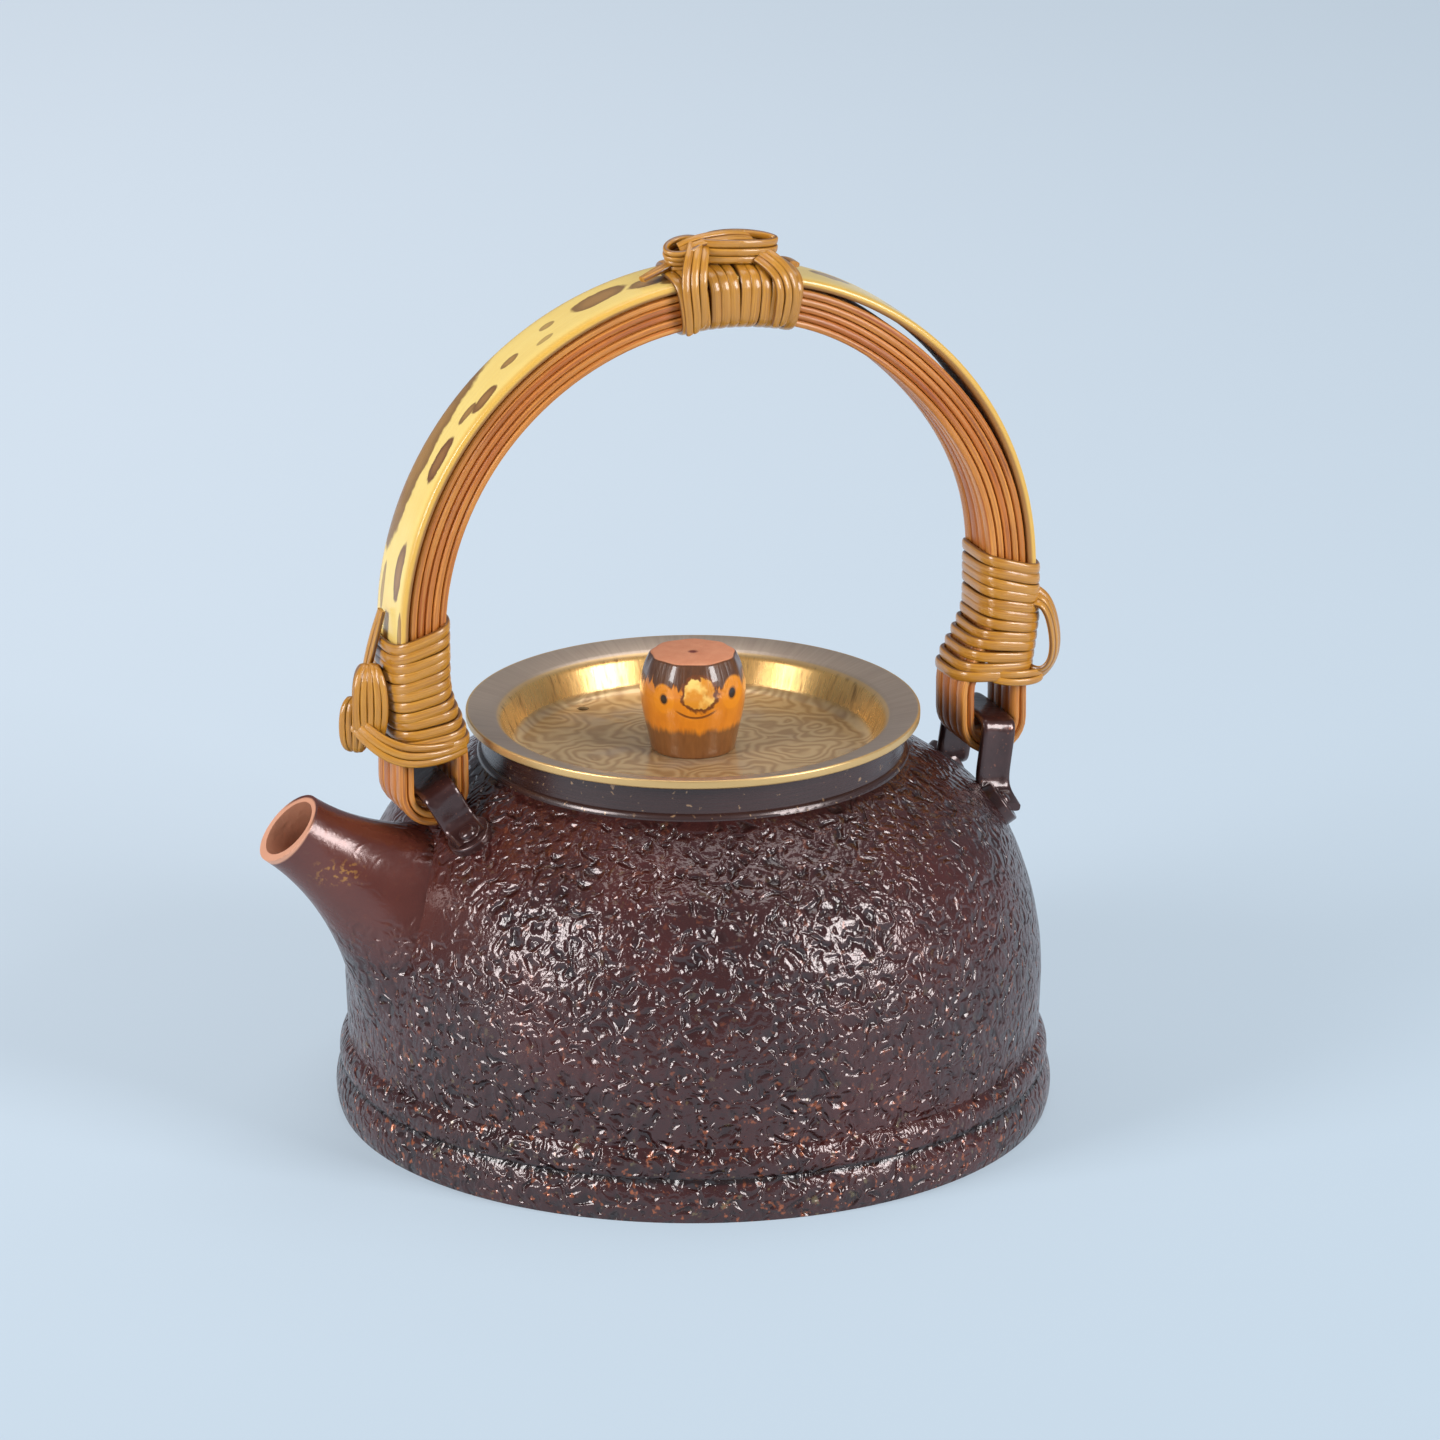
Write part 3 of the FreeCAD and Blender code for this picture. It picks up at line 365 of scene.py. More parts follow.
front_eye, rear_eye = -52.2, 57.0
bridge_level, bridge_half = 67.785, 9.1
strap_wide, strap_thick, strap_hollow = 6.5, 1.75, 0.22
foot_disc = [(0, -0.4), (4.2, -0.4), (4.2, 1.75), (3.1, 1.35), (0, 1.35)]
foot_rounds = {2: 0.55, 3: 0.4}
rivet_head = [(0, 1.2), (2.5, 1.2), (2.5, 1.9), (1.7, 1.75), (1.5, 2.35), (0, 2.7)]
rivet_rounds = {2: 0.3, 4: 0.4}
strap_section = [(u, v - math.copysign(strap_hollow * max(1 - (u / 2.3) ** 4, 0), v))
                 for u, v in oval(strap_wide, strap_thick, 0.45, 28)]

for name, side, eye, lean, foot, out_of_dome in (
        ("front_ear", -1, front_eye, math.radians(30), (-47.59, 13.0, 59.8), (-0.553, 0.151, 0.819)),
        ("rear_ear", 1, rear_eye, math.radians(8), (54.96, 13.0, 53.3), (0.791, 0.187, 0.582))):
    up = Vector((side * math.sin(lean), 0, math.cos(lean)))
    wide = Vector((math.cos(lean), 0, -side * math.sin(lean)))
    bridge = Vector((eye, 0, bridge_level))
    drop = (bridge_level - foot[2]) / up.z
    strap, heads, halves = bmesh.new(), bmesh.new(), []
    for hand in (-1, 1):
        spread = Vector((0, hand, 0))
        stand = Vector((foot[0], foot[1] * hand, foot[2]))
        out = Vector((out_of_dome[0], out_of_dome[1] * hand, out_of_dome[2]))
        outward = (spread - out * spread.dot(out)).normalized()
        sole = stand + out * 0.9
        halves.append([sole + outward * 2.0, sole - outward * 1.6,
                       bridge - up * (drop - 2.0) + spread * (bridge_half + 0.1),
                       bridge - up * drop * 0.5 + spread * bridge_half,
                       bridge - up * 1.6 + spread * bridge_half,
                       bridge + spread * (bridge_half - 0.7), bridge + spread * 4.0])
        turn = out.to_track_quat("Z", "Y").to_matrix().to_4x4()
        stand_on(strap, foot_disc, foot_rounds, stand, turn)
        stand_on(heads, rivet_head, rivet_rounds, stand, turn)
    route = smooth_way(halves[0] + halves[1][::-1], False)
    faces_out = [ahead_at(route, n).cross(wide) for n in range(len(route))]
    carry(strap, strap_section, follow(route, faces_out), 0.5)
    bmesh.ops.recalc_face_normals(strap, faces=strap.faces[:])
    settle(strap, name, ear_copper, "vessel", 50)
    settle(heads, name + "_rivets", ear_copper, "vessel", 50)


# Lid dish
# A pressed brass dish with a broad sloping flange and a hemmed edge, with one small steam hole.
# Its floor shows the layered metal's wood-grain rings, and its wall dark streaks from the heat.
def joined(*parts):
    """One vector of three values, for a pattern that follows a piece's own ways."""
    return parts[0].node("CombineXYZ", {}, dict(enumerate(parts)))


lid_brass, shader, place = new_finish("lid_brass", {"Coat Roughness": 0.12})
x, y, z = axes(place)
from_axis = (x * x + y * y) ** 0.5
turn = x.math("ARCTAN2", y, x)
cloud = place.noise(70.0, 3.0)
streak = joined(turn * 9.0, from_axis * 90.0, z * 30.0).noise(3.0, 4.0, 0.6)
wander = place.node("TexNoise", {}, {"Vector": place, "Scale": 90.0}, 1)
warped = place.vector("ADD", wander.vector("MULTIPLY", (16 * mm, 16 * mm, 0.0)))
cell = place.node("TexVoronoi", {"feature": "F1", "voronoi_dimensions": "2D"},
                  {"Vector": warped, "Scale": 62.0})
rings = x.math("SINE", cell * 40.0 + cloud * 12.0) * 0.5 + 0.5
hair = joined(turn * 60.0, from_axis * 60.0, 0.0).noise(1.0, 3.0)
dish_floor = z.step(69 * mm, 67.9 * mm)
flange = z.step(73 * mm, 73.8 * mm)
under = z.step(67.2 * mm, 66.7 * mm)
hem = from_axis.step(40.9 * mm, 41.3 * mm)
shoulder = abs(from_axis - 35.4 * mm).step(0.7 * mm, 0.1 * mm) * flange

wall_gold = tint(cloud, paint(188, 138, 70), paint(238, 200, 130))
colour = tint(streak.step(0.52, 0.70) * 0.7, wall_gold, paint(110, 70, 36))
floor_gold = tint(rings * (0.35 + cloud * 0.5), paint(210, 178, 128), paint(148, 106, 62))
colour = tint(dish_floor, colour, tint(cloud.step(0.5, 0.7) * 0.5, floor_gold, paint(178, 158, 138)))
mauve = tint(hair * 0.6 + cloud * 0.4, paint(152, 130, 114), paint(202, 182, 162))
colour = tint(flange * (1 - dish_floor), colour, mauve)
colour = tint((1 - (1 - hem) * (1 - shoulder)) * 0.85, colour, paint(226, 184, 116))
colour = tint(under * 0.7, colour, paint(120, 84, 52))
feed(shader, "Base Color", colour)
feed(shader, "Metallic", 0.6 + streak * 0.1 - dish_floor * 0.3)
feed(shader, "Roughness", 0.22 + streak * 0.12 + flange * 0.06 - dish_floor * 0.06)
feed(shader, "Coat Weight", 0.25 * cloud)
relief = streak * (1 - dish_floor) * (1 - flange) + hair * flange * 0.5 + rings * dish_floor * 0.5
emboss(shader, relief, 0.04 * mm)

dish_outline = [(1.6, 67.38), (32.6, 67.38), (35.3, 73.78), (41.5, 75.13), (41.5, 73.43), (40.3, 73.43),
                (40.3, 73.67), (36.4, 72.82), (33.8, 66.18), (1.6, 66.18)]
dish = turned(dish_outline, {1: 1.6, 2: 1.4, 3: 0.4, 4: 0.4, 7: 1.0, 8: 1.6}, 160)
lid_dish = settle(dish, "lid_dish", lid_brass, "lid", 40)
steam_hole = (-11.4 * mm, 27.0 * mm, 67 * mm)
steam_radius = 1.1 * mm
rod = bmesh.new()
bmesh.ops.create_cone(rod, cap_ends=True, segments=24, radius1=steam_radius, radius2=steam_radius,
                      depth=8 * mm, matrix=Matrix.Translation(steam_hole))
drill = bpy.data.objects.new("steam_drill", bpy.data.meshes.new("steam_drill"))
rod.to_mesh(drill.data)
rod.free()
bpy.context.scene.collection.objects.link(drill)
drilling = lid_dish.modifiers.new("steam_hole", "BOOLEAN")
drilling.object = drill
drilling.solver = "EXACT"
bpy.context.view_layer.update()
drilled = bpy.data.meshes.new_from_object(lid_dish.evaluated_get(bpy.context.evaluated_depsgraph_get()))
lid_dish.modifiers.clear()
lid_dish.data = drilled
bpy.data.objects.remove(drill)


# Knob screw and washer
# A small round-headed steel screw comes up through a brass washer and the dish into the knob.
# Both sit under the lid, where steam has dulled them.
screw_steel, shader, place = new_finish("screw_steel", {})
dull = place.noise(900.0, 3.0)
feed(shader, "Base Color", tint(dull, paint(150, 150, 152), paint(196, 196, 196)))
feed(shader, "Metallic", 0.9 + dull * 0.1)
feed(shader, "Roughness", 0.28 + dull * 0.2)
emboss(shader, dull, 0.03 * mm)
dress(screw_steel, "knob_screw")
dress(lid_brass, "knob_washer")


# Lid knob
# A short cut of bamboo root, sanded and oiled, screwed down on the dish. The cut top is pink with
# a dark pith; dark bark is left in a band below it, and a bud and two root scars show in front.
knob_root, shader, place = new_finish("bamboo_root", {"Coat Roughness": 0.08})
x, y, z = axes(place)
view_right, view_front = (0.934, -0.358), (-0.358, -0.934)
side = x * view_right[0] + y * view_right[1]
front = (x * view_front[0] + y * view_front[1]).step(0.0, 3 * mm)


def oval_gap(along, across, half_long, half_wide):
    """How far a place is from the middle of an oval mark, 1 at its edge."""
    return ((along / half_long) ** 2.0 + (across / half_wide) ** 2.0) ** 0.5


def mark(across, height, wide, tall):
    """The gap to an oval mark on the front of the knob, all in mm."""
    return oval_gap(side - across * mm, z - height * mm, wide * mm, tall * mm)


turn = x.math("ARCTAN2", y, x)
strips = joined(turn * 5.0, z * 60.0, 0.3).noise(2.2, 3.0, 0.6)
cloud = place.noise(300.0, 3.0)
grain = place.vector("MULTIPLY", (1600.0, 1600.0, 220.0)).noise(1.0, 3.0)
bark = (z + (strips - 0.5) * (7 * mm)).step(80.8 * mm, 81.5 * mm)
base = (z + (strips - 0.5) * (2.2 * mm) + (cloud - 0.5) * mm).step(73.8 * mm, 72.2 * mm)
bud = mark(1.2, 80.4, 3.0, 2.9) + (place.noise(800.0, 3.0) - 0.5) * 0.7
scars = mark(-5.3, 79.1, 0.62, 0.9), mark(7.1, 79.8, 0.6, 1.0)
crease_line = abs(mark(0.6, 80.6, 5.2, 4.7) - 1.0).step(0.06, 0.02) * z.step(77.4 * mm, 76.6 * mm) * front
cut_top = z.step(85.35 * mm, 85.5 * mm)
pith = ((x * x + y * y) ** 0.5).step(1.2 * mm, 0.4 * mm)

colour = tint(cloud * 0.6 + grain * 0.4, paint(196, 104, 10), paint(238, 150, 30))
colour = tint(bark * 0.94, colour, tint(grain, paint(34, 18, 11), paint(90, 52, 31)))
colour = tint(base * 0.85, colour, tint(grain, paint(62, 38, 24), paint(112, 74, 46)))
colour = tint(bud.step(1.25, 1.1) * front, colour, paint(112, 58, 18))
bud_face = tint(cloud.step(0.4, 0.6), paint(216, 140, 36), paint(248, 206, 112))
colour = tint(bud.step(1.02, 0.9) * front, colour, bud_face)
for scar in scars:
    colour = tint(scar.step(3.3, 2.7) * front, colour, paint(232, 142, 18))
    colour = tint(scar.step(1.35, 1.1) * front * 0.6, colour, paint(150, 80, 14))
    colour = tint(scar.step(1.05, 0.8) * front, colour, paint(30, 15, 9))
colour = tint(crease_line * 0.8, colour, paint(110, 54, 12))
pink = tint(place.noise(500.0, 3.0), paint(196, 118, 80), paint(218, 150, 112))
colour = tint(cut_top, colour, tint(pith, pink, paint(120, 48, 34)))
feed(shader, "Base Color", colour)
feed(shader, "Roughness", 0.34 + cut_top * 0.3 + cloud * 0.1)
feed(shader, "Coat Weight", 0.75 * (1 - cut_top * 0.9))
emboss(shader, grain * 0.3 + strips * bark * 0.7 - crease_line * 0.8, 0.2 * mm)

knob_outline = [(1.6, 67.38), (7.7, 67.38), (8.1, 69.6), (8.9, 73.2), (9.6, 76.8), (9.75, 79.6), (9.0, 83.2),
                (7.85, 85.58), (0.0, 85.58), (0.0, 76.0), (1.6, 76.0)]
knob_rounds = {1: 0.4, 2: 1.2, 3: 1.6, 4: 1.6, 5: 1.6, 6: 1.2, 7: 0.5}
flute_count, flute_depth, flute_start, flute_rise, core_radius = 9, 0.17, 76, 10, 5
knob = turned(knob_outline, knob_rounds, 144)
for corner in knob.verts:
    lift = (corner.co.z / mm - flute_start) / flute_rise
    out = Vector((corner.co.x, corner.co.y, 0))
    if lift > 0 and out.length > core_radius * mm:
        about = math.atan2(corner.co.y, corner.co.x)
        wave = 1 + math.sin(about * flute_count + 0.6 * math.sin(about * 2))
        corner.co -= out.normalized() * (flute_depth * mm * min(lift, 1) * wave)
settle(knob, "lid_knob", knob_root, "lid", 40)


# Rattan splints
# The handle's core: four split rattan canes side by side, each bent into one long loop that runs
# up, over and back and through both ears. Two thicknesses and a filler cane lie in each loop.
arch_x, arch_z = 3.3, 95.985
leg_foot, spread_foot, loop_level = 86.985, 72.985, 67.285
outer_run, inner_run, filler_run, eye_radius = 58.5, 54.3, 56.4, 5.2
splint_pitch, layer_offset = 3.3, 0.7
sag_depth, sag_from, sag_span = 1.1, 80, 70


def held_in(value):
    """A share kept between 0 and 1."""
    return min(max(value, 0), 1)


def leg_at(height, run, loop):
    """How far across a run stands on its way from the leg down to its loop."""
    share = held_in((leg_foot - height) / (leg_foot - spread_foot))
    return run + (loop - run) * share * share * (3 - 2 * share)


def over_arch(radius, start=180.0, end=0.0, steps=72):
    """Places over the arch, from start to end in degrees; the rear side sags a little inwards."""
    for n in range(steps + 1):
        turn = math.radians(start + (end - start) * n / steps)
        sag = sag_depth * math.sin(math.pi * held_in((sag_from - math.degrees(turn)) / sag_span)) ** 2
        yield Vector((arch_x + (radius - sag) * math.cos(turn), 0, arch_z + (radius - sag) * math.sin(turn)))


def loop_route(grow):
    """One closed loop of a splint, out by grow mm from the middle of its thickness."""
    outer, inner, eye = outer_run + grow, inner_run - grow, eye_radius + grow
    heights = [arch_z - (arch_z - loop_level) * n / 16 for n in range(1, 16)]
    legs = []
    for sign, centre in ((-1, front_eye), (1, rear_eye)):
        down = [Vector((leg_at(h, arch_x + sign * outer, centre + sign * eye), 0, h)) for h in heights]
        eye_arc = [Vector((centre + sign * eye * math.cos(a), 0, loop_level - eye * math.sin(a)))
                   for a in (math.pi * n / 14 for n in range(15))]
        up = [Vector((leg_at(h, arch_x + sign * inner, centre - sign * eye), 0, h)) for h in heights[::-1]]
        legs.append(down + eye_arc + up)
    return list(over_arch(outer)) + legs[1] + list(over_arch(inner, 0.0, 180.0)) + legs[0][::-1]


def marked(place, *names):
    """What carry marked on a strand: the way along it, the way across it, and which strand it is."""
    return [place.node("Attribute", {"attribute_name": name}, {}, 2) for name in names]


rattan_core, shader, place = new_finish("rattan_core", {"Coat Roughness": 0.25})
along, across, strand = marked(place, "along", "across", "strand")
fibre = joined(along * 26.0, across * 7.0, strand * 60.0).noise(1.0, 4.0, 0.65)
fine = joined(along * 60.0, across * 26.0, strand * 40.0).noise(1.0)
colour = tint(fibre.step(0.3, 0.7), paint(172, 84, 18), paint(230, 156, 66))
colour = tint(strand.step(0.2, 0.8) * 0.5, colour, paint(190, 98, 30))
colour = tint(strand.step(0.75, 0.95) * 0.4, colour, paint(140, 66, 26))
colour = tint(fine.step(0.56, 0.7) * 0.6, colour, paint(112, 50, 20))
# The sides of each splint are painted darker: painted shade in the gaps between neighbouring splints.
colour = tint(abs(across).step(0.9, 1.0) * 0.3, colour, paint(110, 54, 24))
feed(shader, "Base Color", colour)
feed(shader, "Roughness", 0.36 + fibre * 0.16)
feed(shader, "Coat Weight", 0.25 + fibre * 0.2)
emboss(shader, fibre * 0.4 + fine * 0.6, 0.18 * mm)

cane_section, filler_section = oval(3.15, 1.42, 0.62), oval(3.0, 1.4, 0.7)
for number in range(4):
    splint = bmesh.new()
    level = (number - 1.5) * splint_pitch
    for layer, grow in enumerate((layer_offset, -layer_offset)):
        route = loop_route(grow)
        for n, spot in enumerate(route):
            spot.y = level + 0.14 * math.sin(n * 0.11 + number * 2 + layer)
        which = (number * 0.37 + layer * 0.21 + 0.11) % 1
        carry(splint, cane_section, follow(route + route[:1])[:-1], which, closed=True)
    filler = list(over_arch(filler_run + 0.1 * math.sin(number), 184.0, -4.0))
    for n, spot in enumerate(filler):
        spot.y = level + 0.15 * math.sin(n * 0.17 + number)
    carry(splint, filler_section, follow(filler), (number * 0.37 + 0.68) % 1)
    bmesh.ops.recalc_face_normals(splint, faces=splint.faces[:])
    settle(splint, f"rattan_splint_{number + 1}", rattan_core, "handle", 70)


# Bamboo strip
# The back of the handle: one split strip of spotted bamboo, bent with heat over the canes and
# held by the three bindings. Its skin side is out, crowned and waxed, with its brown spots.
bamboo_run, bamboo_wide, bamboo_thick = 61, 13.5, 2.0
bamboo_foot, bamboo_leg = 87.985, 8

spotted_bamboo, shader, place = new_finish("spotted_bamboo", {"Coat Roughness": 0.12})
along, across = marked(place, "along", "across")
x, y, z = axes(place)
fibre = joined(along * 30.0, across * 22.0, 0.4).noise(1.0, 4.0, 0.6)
cloud = place.noise(180.0, 3.0)
above = z.math("MAXIMUM", z, arch_z * mm) - arch_z * mm
from_bend = ((x - arch_x * mm) ** 2.0 + above ** 2.0) ** 0.5
skin = from_bend.step((bamboo_run - 0.4) * mm, (bamboo_run + 0.1) * mm)
colour = tint(fibre * 0.6 + cloud * 0.4, paint(232, 190, 92), paint(248, 222, 138))
colour = tint(abs(across).step(0.78, 1.0) * 0.75, colour, paint(208, 152, 44))
# Spots as (mm along from the spout end, share of the way across, half length, half width, depth).
for reach, way, tall, wide, depth in (
        (9, -0.86, 5, 0.10, 0.8), (20, -0.45, 5.0, 0.24, 0.95), (16, 0.55, 4.5, 0.10, 0.75),
        (33, 0.78, 2.0, 0.10, 0.6), (42, 0.78, 18, 0.56, 0.9), (42, -0.42, 4.6, 0.26, 1.0),
        (51, -0.30, 2.6, 0.16, 0.9), (55, -0.55, 3.2, 0.20, 0.95), (63, -0.05, 1.8, 0.14, 0.85),
        (70, -0.42, 1.6, 0.10, 0.6), (72, 0.20, 1.6, 0.14, 0.7), (83, 0.05, 5.0, 0.34, 0.9),
        (92, -0.18, 4.6, 0.26, 0.85), (97, -0.58, 3.6, 0.22, 0.85), (101, 0.45, 4, 0.30, 0.6),
        (128, 0.30, 4, 0.30, 0.8), (141, -0.30, 3, 0.22, 0.8), (150, 0.55, 9, 0.28, 0.85),
        (164, -0.10, 4, 0.24, 0.85), (176, 0.35, 3, 0.20, 0.8)):
    gap = oval_gap(along - reach * mm, across - way, tall * mm, wide) + (cloud - 0.5) * 1.1
    brown = tint(gap.step(0.3, 1.0), paint(146, 98, 48), paint(112, 68, 28))
    colour = tint(gap.step(1.15, 0.95) * depth, colour, brown)
colour = tint(skin, tint(fibre, paint(120, 78, 36), paint(178, 126, 66)), colour)
feed(shader, "Base Color", colour)
feed(shader, "Roughness", 0.26 + fibre * 0.12 + (1 - skin) * 0.3)
feed(shader, "Coat Weight", 0.5 * skin)
emboss(shader, fibre, 0.07 * mm)

strip = bmesh.new()
leg_heights = [bamboo_foot + bamboo_leg * n / 6 for n in range(6)]
heel = [Vector((arch_x - bamboo_run, 0, height)) for height in leg_heights]
toe = [Vector((arch_x + bamboo_run, 0, height)) for height in leg_heights[::-1]]
crown = [Vector((arch_x + bamboo_run * math.cos(a), 0, arch_z + bamboo_run * math.sin(a)))
         for a in (math.pi * (1 - n / 96) for n in range(97))]
carry(strip, oval(bamboo_wide, bamboo_thick, 0.42, 36), follow(heel + crown + toe), 0.5)
bmesh.ops.recalc_face_normals(strip, faces=strip.faces[:])
settle(strip, "bamboo_strip", spotted_bamboo, "handle", 60)


# Bindings
# Flat strips of glossy rattan skin wound a dozen turns, wet and tight, round the bamboo and the
# canes at both feet of the handle and at its crown. As they dry they shrink and hold.
rattan_skin, shader, place = new_finish("rattan_skin", {"Coat Roughness": 0.1})
along, across, strand = marked(place, "along", "across", "strand")
fibre = joined(along * 50.0, across * 4.0, strand * 50.0).noise(1.0, 4.0, 0.6)
cloud = place.noise(130.0, 3.0)
colour = tint(fibre.step(0.25, 0.75) * 0.6 + cloud * 0.4, paint(150, 90, 14), paint(210, 148, 46))
colour = tint(cloud.step(0.58, 0.74) * 0.35, colour, paint(150, 82, 22))
# The edges of each strip are painted dark: painted shade in the gaps between the turns.
colour = tint(abs(across).step(0.82, 1.0) * 0.8, colour, paint(80, 38, 10))
feed(shader, "Base Color", colour)
feed(shader, "Roughness", 0.28 + fibre * 0.14)
feed(shader, "Coat Weight", 0.55 + fibre * 0.3)
emboss(shader, fibre, 0.12 * mm)

skin_section, skin_stand = oval(2.06, 1.15, 0.72, 14), 0.95
wound_turns, turn_steps, wound_length, wound_start = 12, 60, 22.8, 1.0
corner_power, lean_power = 0.6, 2.3
bundle_half = 6.75
bundle_outer, bundle_inner, eye_reach, bamboo_back = 59.9, 52.9, 6.6, 62
heel_top, heel_rise, heel_in, rear_foot = 87.4, 13.8, 1.6, 73.585
crown_run, crown_bend, crown_half, crown_length, crown_lean = 57.45, 57.5, 4.55, 23.2, 3.4


def power(value, exponent):
    """A power that keeps the sign."""
    return math.copysign(abs(value) ** exponent, value)


def wind(name, station, tilt):
    """Winds a strip round the handle; station(share) gives middle, axis, deep way and half depth."""
    spots, ways = [], []
    for n in range(wound_turns * turn_steps + 1):
        share, turn = n / (wound_turns * turn_steps), math.tau * n / turn_steps
        middle, axis, deep, half_deep = station(share)
        side = axis.cross(deep)
        u, v = power(math.cos(turn), corner_power), power(math.sin(turn), corner_power)
        sway = tilt * (0.4 + share) * u + 0.16 * math.sin(turn * 0.37) + 0.12 * math.sin(turn * 1.7)
        way = deep * power(u, lean_power) / half_deep + side * power(v, lean_power) / bundle_half
        ways.append(way.normalized())
        spots.append(middle + deep * (u * (half_deep + skin_stand)) + side * (v * (bundle_half + skin_stand))
                     + axis * sway)
    made = bmesh.new()
    carry(made, skin_section, follow(spots, ways), 0.5)
    bmesh.ops.recalc_face_normals(made, faces=made.faces[:])
    settle(made, name, rattan_skin, "handle", 70)


def leg_station(sign, foot, eye):
    """Stations up one leg, from its foot; they follow the canes and clear the bamboo's lower end."""
    def station(share):
        height = foot + wound_start + share * wound_length
        bamboo = sign * arch_x + bamboo_back - heel_in * held_in((heel_top - height) / heel_rise)
        outer = max(sign * leg_at(height, arch_x + sign * bundle_outer, eye + sign * eye_reach), bamboo)
        inner = sign * leg_at(height, arch_x + sign * bundle_inner, eye - sign * eye_reach)
        middle = Vector((sign * (outer + inner) / 2, 0, height))
        return middle, Vector((0, 0, 1)), Vector((1, 0, 0)), (outer - inner) / 2
    return station


def crown_station(share):
    """Stations along the crown, which leans a little to the rear."""
    turn = math.radians(90 - crown_lean) - (share - 0.5) * crown_length / crown_bend
    deep = Vector((math.cos(turn), 0, math.sin(turn)))
    axis = Vector((math.sin(turn), 0, -math.cos(turn)))
    return Vector((arch_x, 0, arch_z)) + deep * crown_run, axis, deep, crown_half


wind("spout_binding", leg_station(-1, spread_foot, front_eye), 1.1)
wind("rear_binding", leg_station(1, rear_foot, rear_eye), -1.4)
wind("top_binding", crown_station, 0.0)


# Bows
# The ends of each strip are tied off in a bow of a few flat strands, tucked back under the last
# turns. The crown's loops stand on its binding, and the two lower bows stand out from the legs.
def tie(made, points, count, gap, pinch, facing=None):
    """Lays strands side by side along a route that faces one way, or round a loop, facing outwards."""
    closed = facing is None
    spots = smooth_way(points, closed)
    total = len(spots)
    middle = sum(spots, Vector()) / total
    tall = max(abs(spot.z - middle.z) for spot in spots)
    for n in range(count):
        moved, ways = [], []
        for m, spot in enumerate(spots):
            if closed:
                ahead = spots[(m + 1) % total] - spots[m - 1]
                out = (spot - middle).normalized()
                fullness = max(1 - ((spot.z - middle.z) / tall) ** 2, 0) ** 0.5
            else:
                ahead = ahead_at(spots, m)
                out = ahead.cross(Vector(facing)).cross(ahead).normalized()
                fullness = math.sin(math.pi * m / total)
            spread = out.cross(ahead).normalized() * (n - (count - 1) / 2) * gap
            moved.append(spot + spread * (pinch + (1 - pinch) * fullness) + out * 0.12 * math.sin(n * 2.1))
            ways.append(out)
        if closed:
            frames = follow(moved + moved[:1], ways + ways[:1])[:-1]
        else:
            frames = follow(moved, ways)
        carry(made, oval(gap * 0.97, 1.0, 0.74), frames, (n * 0.31 + 0.2) % 1, closed)


def tie_off(made, name):
    bmesh.ops.recalc_face_normals(made, faces=made.faces[:])
    settle(made, name, rattan_skin, "handle", 70)


bow = bmesh.new()
near_loop = [(-63.6, -4.6, 84), (-63.6, -4.2, 89.8), (-62.8, -1.8, 91.8), (-62.0, 0.6, 88.6),
             (-62.0, 0.6, 79.4), (-62.8, -1.8, 76.2), (-63.6, -4.2, 78.2)]
tie(bow, near_loop, 5, 1.3, 0.3)
small_loop = [(-66.6, -3.0, 80.0), (-66.4, -2.4, 84.4), (-65.2, -0.6, 85.6), (-64.0, 1.0, 80),
              (-64.8, -0.6, 74.8), (-66.4, -2.4, 75.6)]
tie(bow, small_loop, 4, 1.25, 0.35)
tail = [(-63.0, 1.5, 84), (-62.2, 1.2, 91), (-60.8, 0.6, 96), (-59.6, 0.2, 100.5)]
tie(bow, tail, 2, 1.5, 0.4, (-1, 0, 0))
hitch = [(-66.0, -2.6, 81.0), (-64.2, -5.6, 78.6), (-61.0, -8.4, 76.2), (-56.0, -9.2, 75.0),
         (-50.0, -8.6, 75.2), (-46.5, -6.4, 75.6)]
tie(bow, hitch, 3, 1.5, 0.6, (-0.3, -1, 0))
tie_off(bow, "spout_knot")

bow = bmesh.new()
right_loop = [(1.0, -3.6, 161.9), (7.5, -4.8, 161.6), (13.2, -4.0, 160.9), (16.0, -1.6, 160.7),
              (13.4, 0.4, 161.6), (8.0, 0.9, 162.5), (3.0, 0.4, 162.6), (0.0, -1.6, 162.3)]
tie(bow, right_loop, 3, 1.5, 1.0)
left_loop = [(-0.6, -4.4, 161.2), (-4.2, -4.0, 160.6), (-6.2, -1.8, 160.8), (-4.6, 0.6, 161.9),
             (-0.4, 1.0, 162.5), (1.8, -1.6, 162.0)]
tie(bow, left_loop, 4, 1.05, 1.0)
over_top = [(-3.4, -2.2, 162.6), (-0.8, -2.8, 163.9), (3.4, -2.6, 164.1), (7.6, -1.6, 163.9),
            (10.8, -0.2, 162.8)]
tie(bow, over_top, 2, 1.35, 0.8, (0, -0.5, 0.85))
near_strap = [(-2.2, -7.2, 148.6), (-2.3, -8.1, 149.6), (-2.5, -8.7, 152.0), (-3.1, -8.9, 156.8),
              (-2.4, -7.4, 160.4), (-0.8, -4.9, 162.6), (0.4, -2.0, 163.2)]
tie(bow, near_strap, 3, 1.6, 0.8, (0, -0.75, 0.65))
end_strap = [(14.3, -7.2, 148.2), (14.5, -8.1, 149.2), (14.8, -8.7, 151.6), (15.2, -8.9, 155.4),
             (14.0, -7.2, 158.9), (11.5, -4.2, 160.6)]
tie(bow, end_strap, 3, 1.6, 0.8, (0.2, -0.8, 0.5))
tail = [(-1.0, -0.8, 160.4), (-5.5, -1.6, 159.6), (-10.6, -2.6, 157.7)]
tie(bow, tail, 2, 1.4, 0.3, (-0.3, 0, 1))
tie_off(bow, "top_knot")

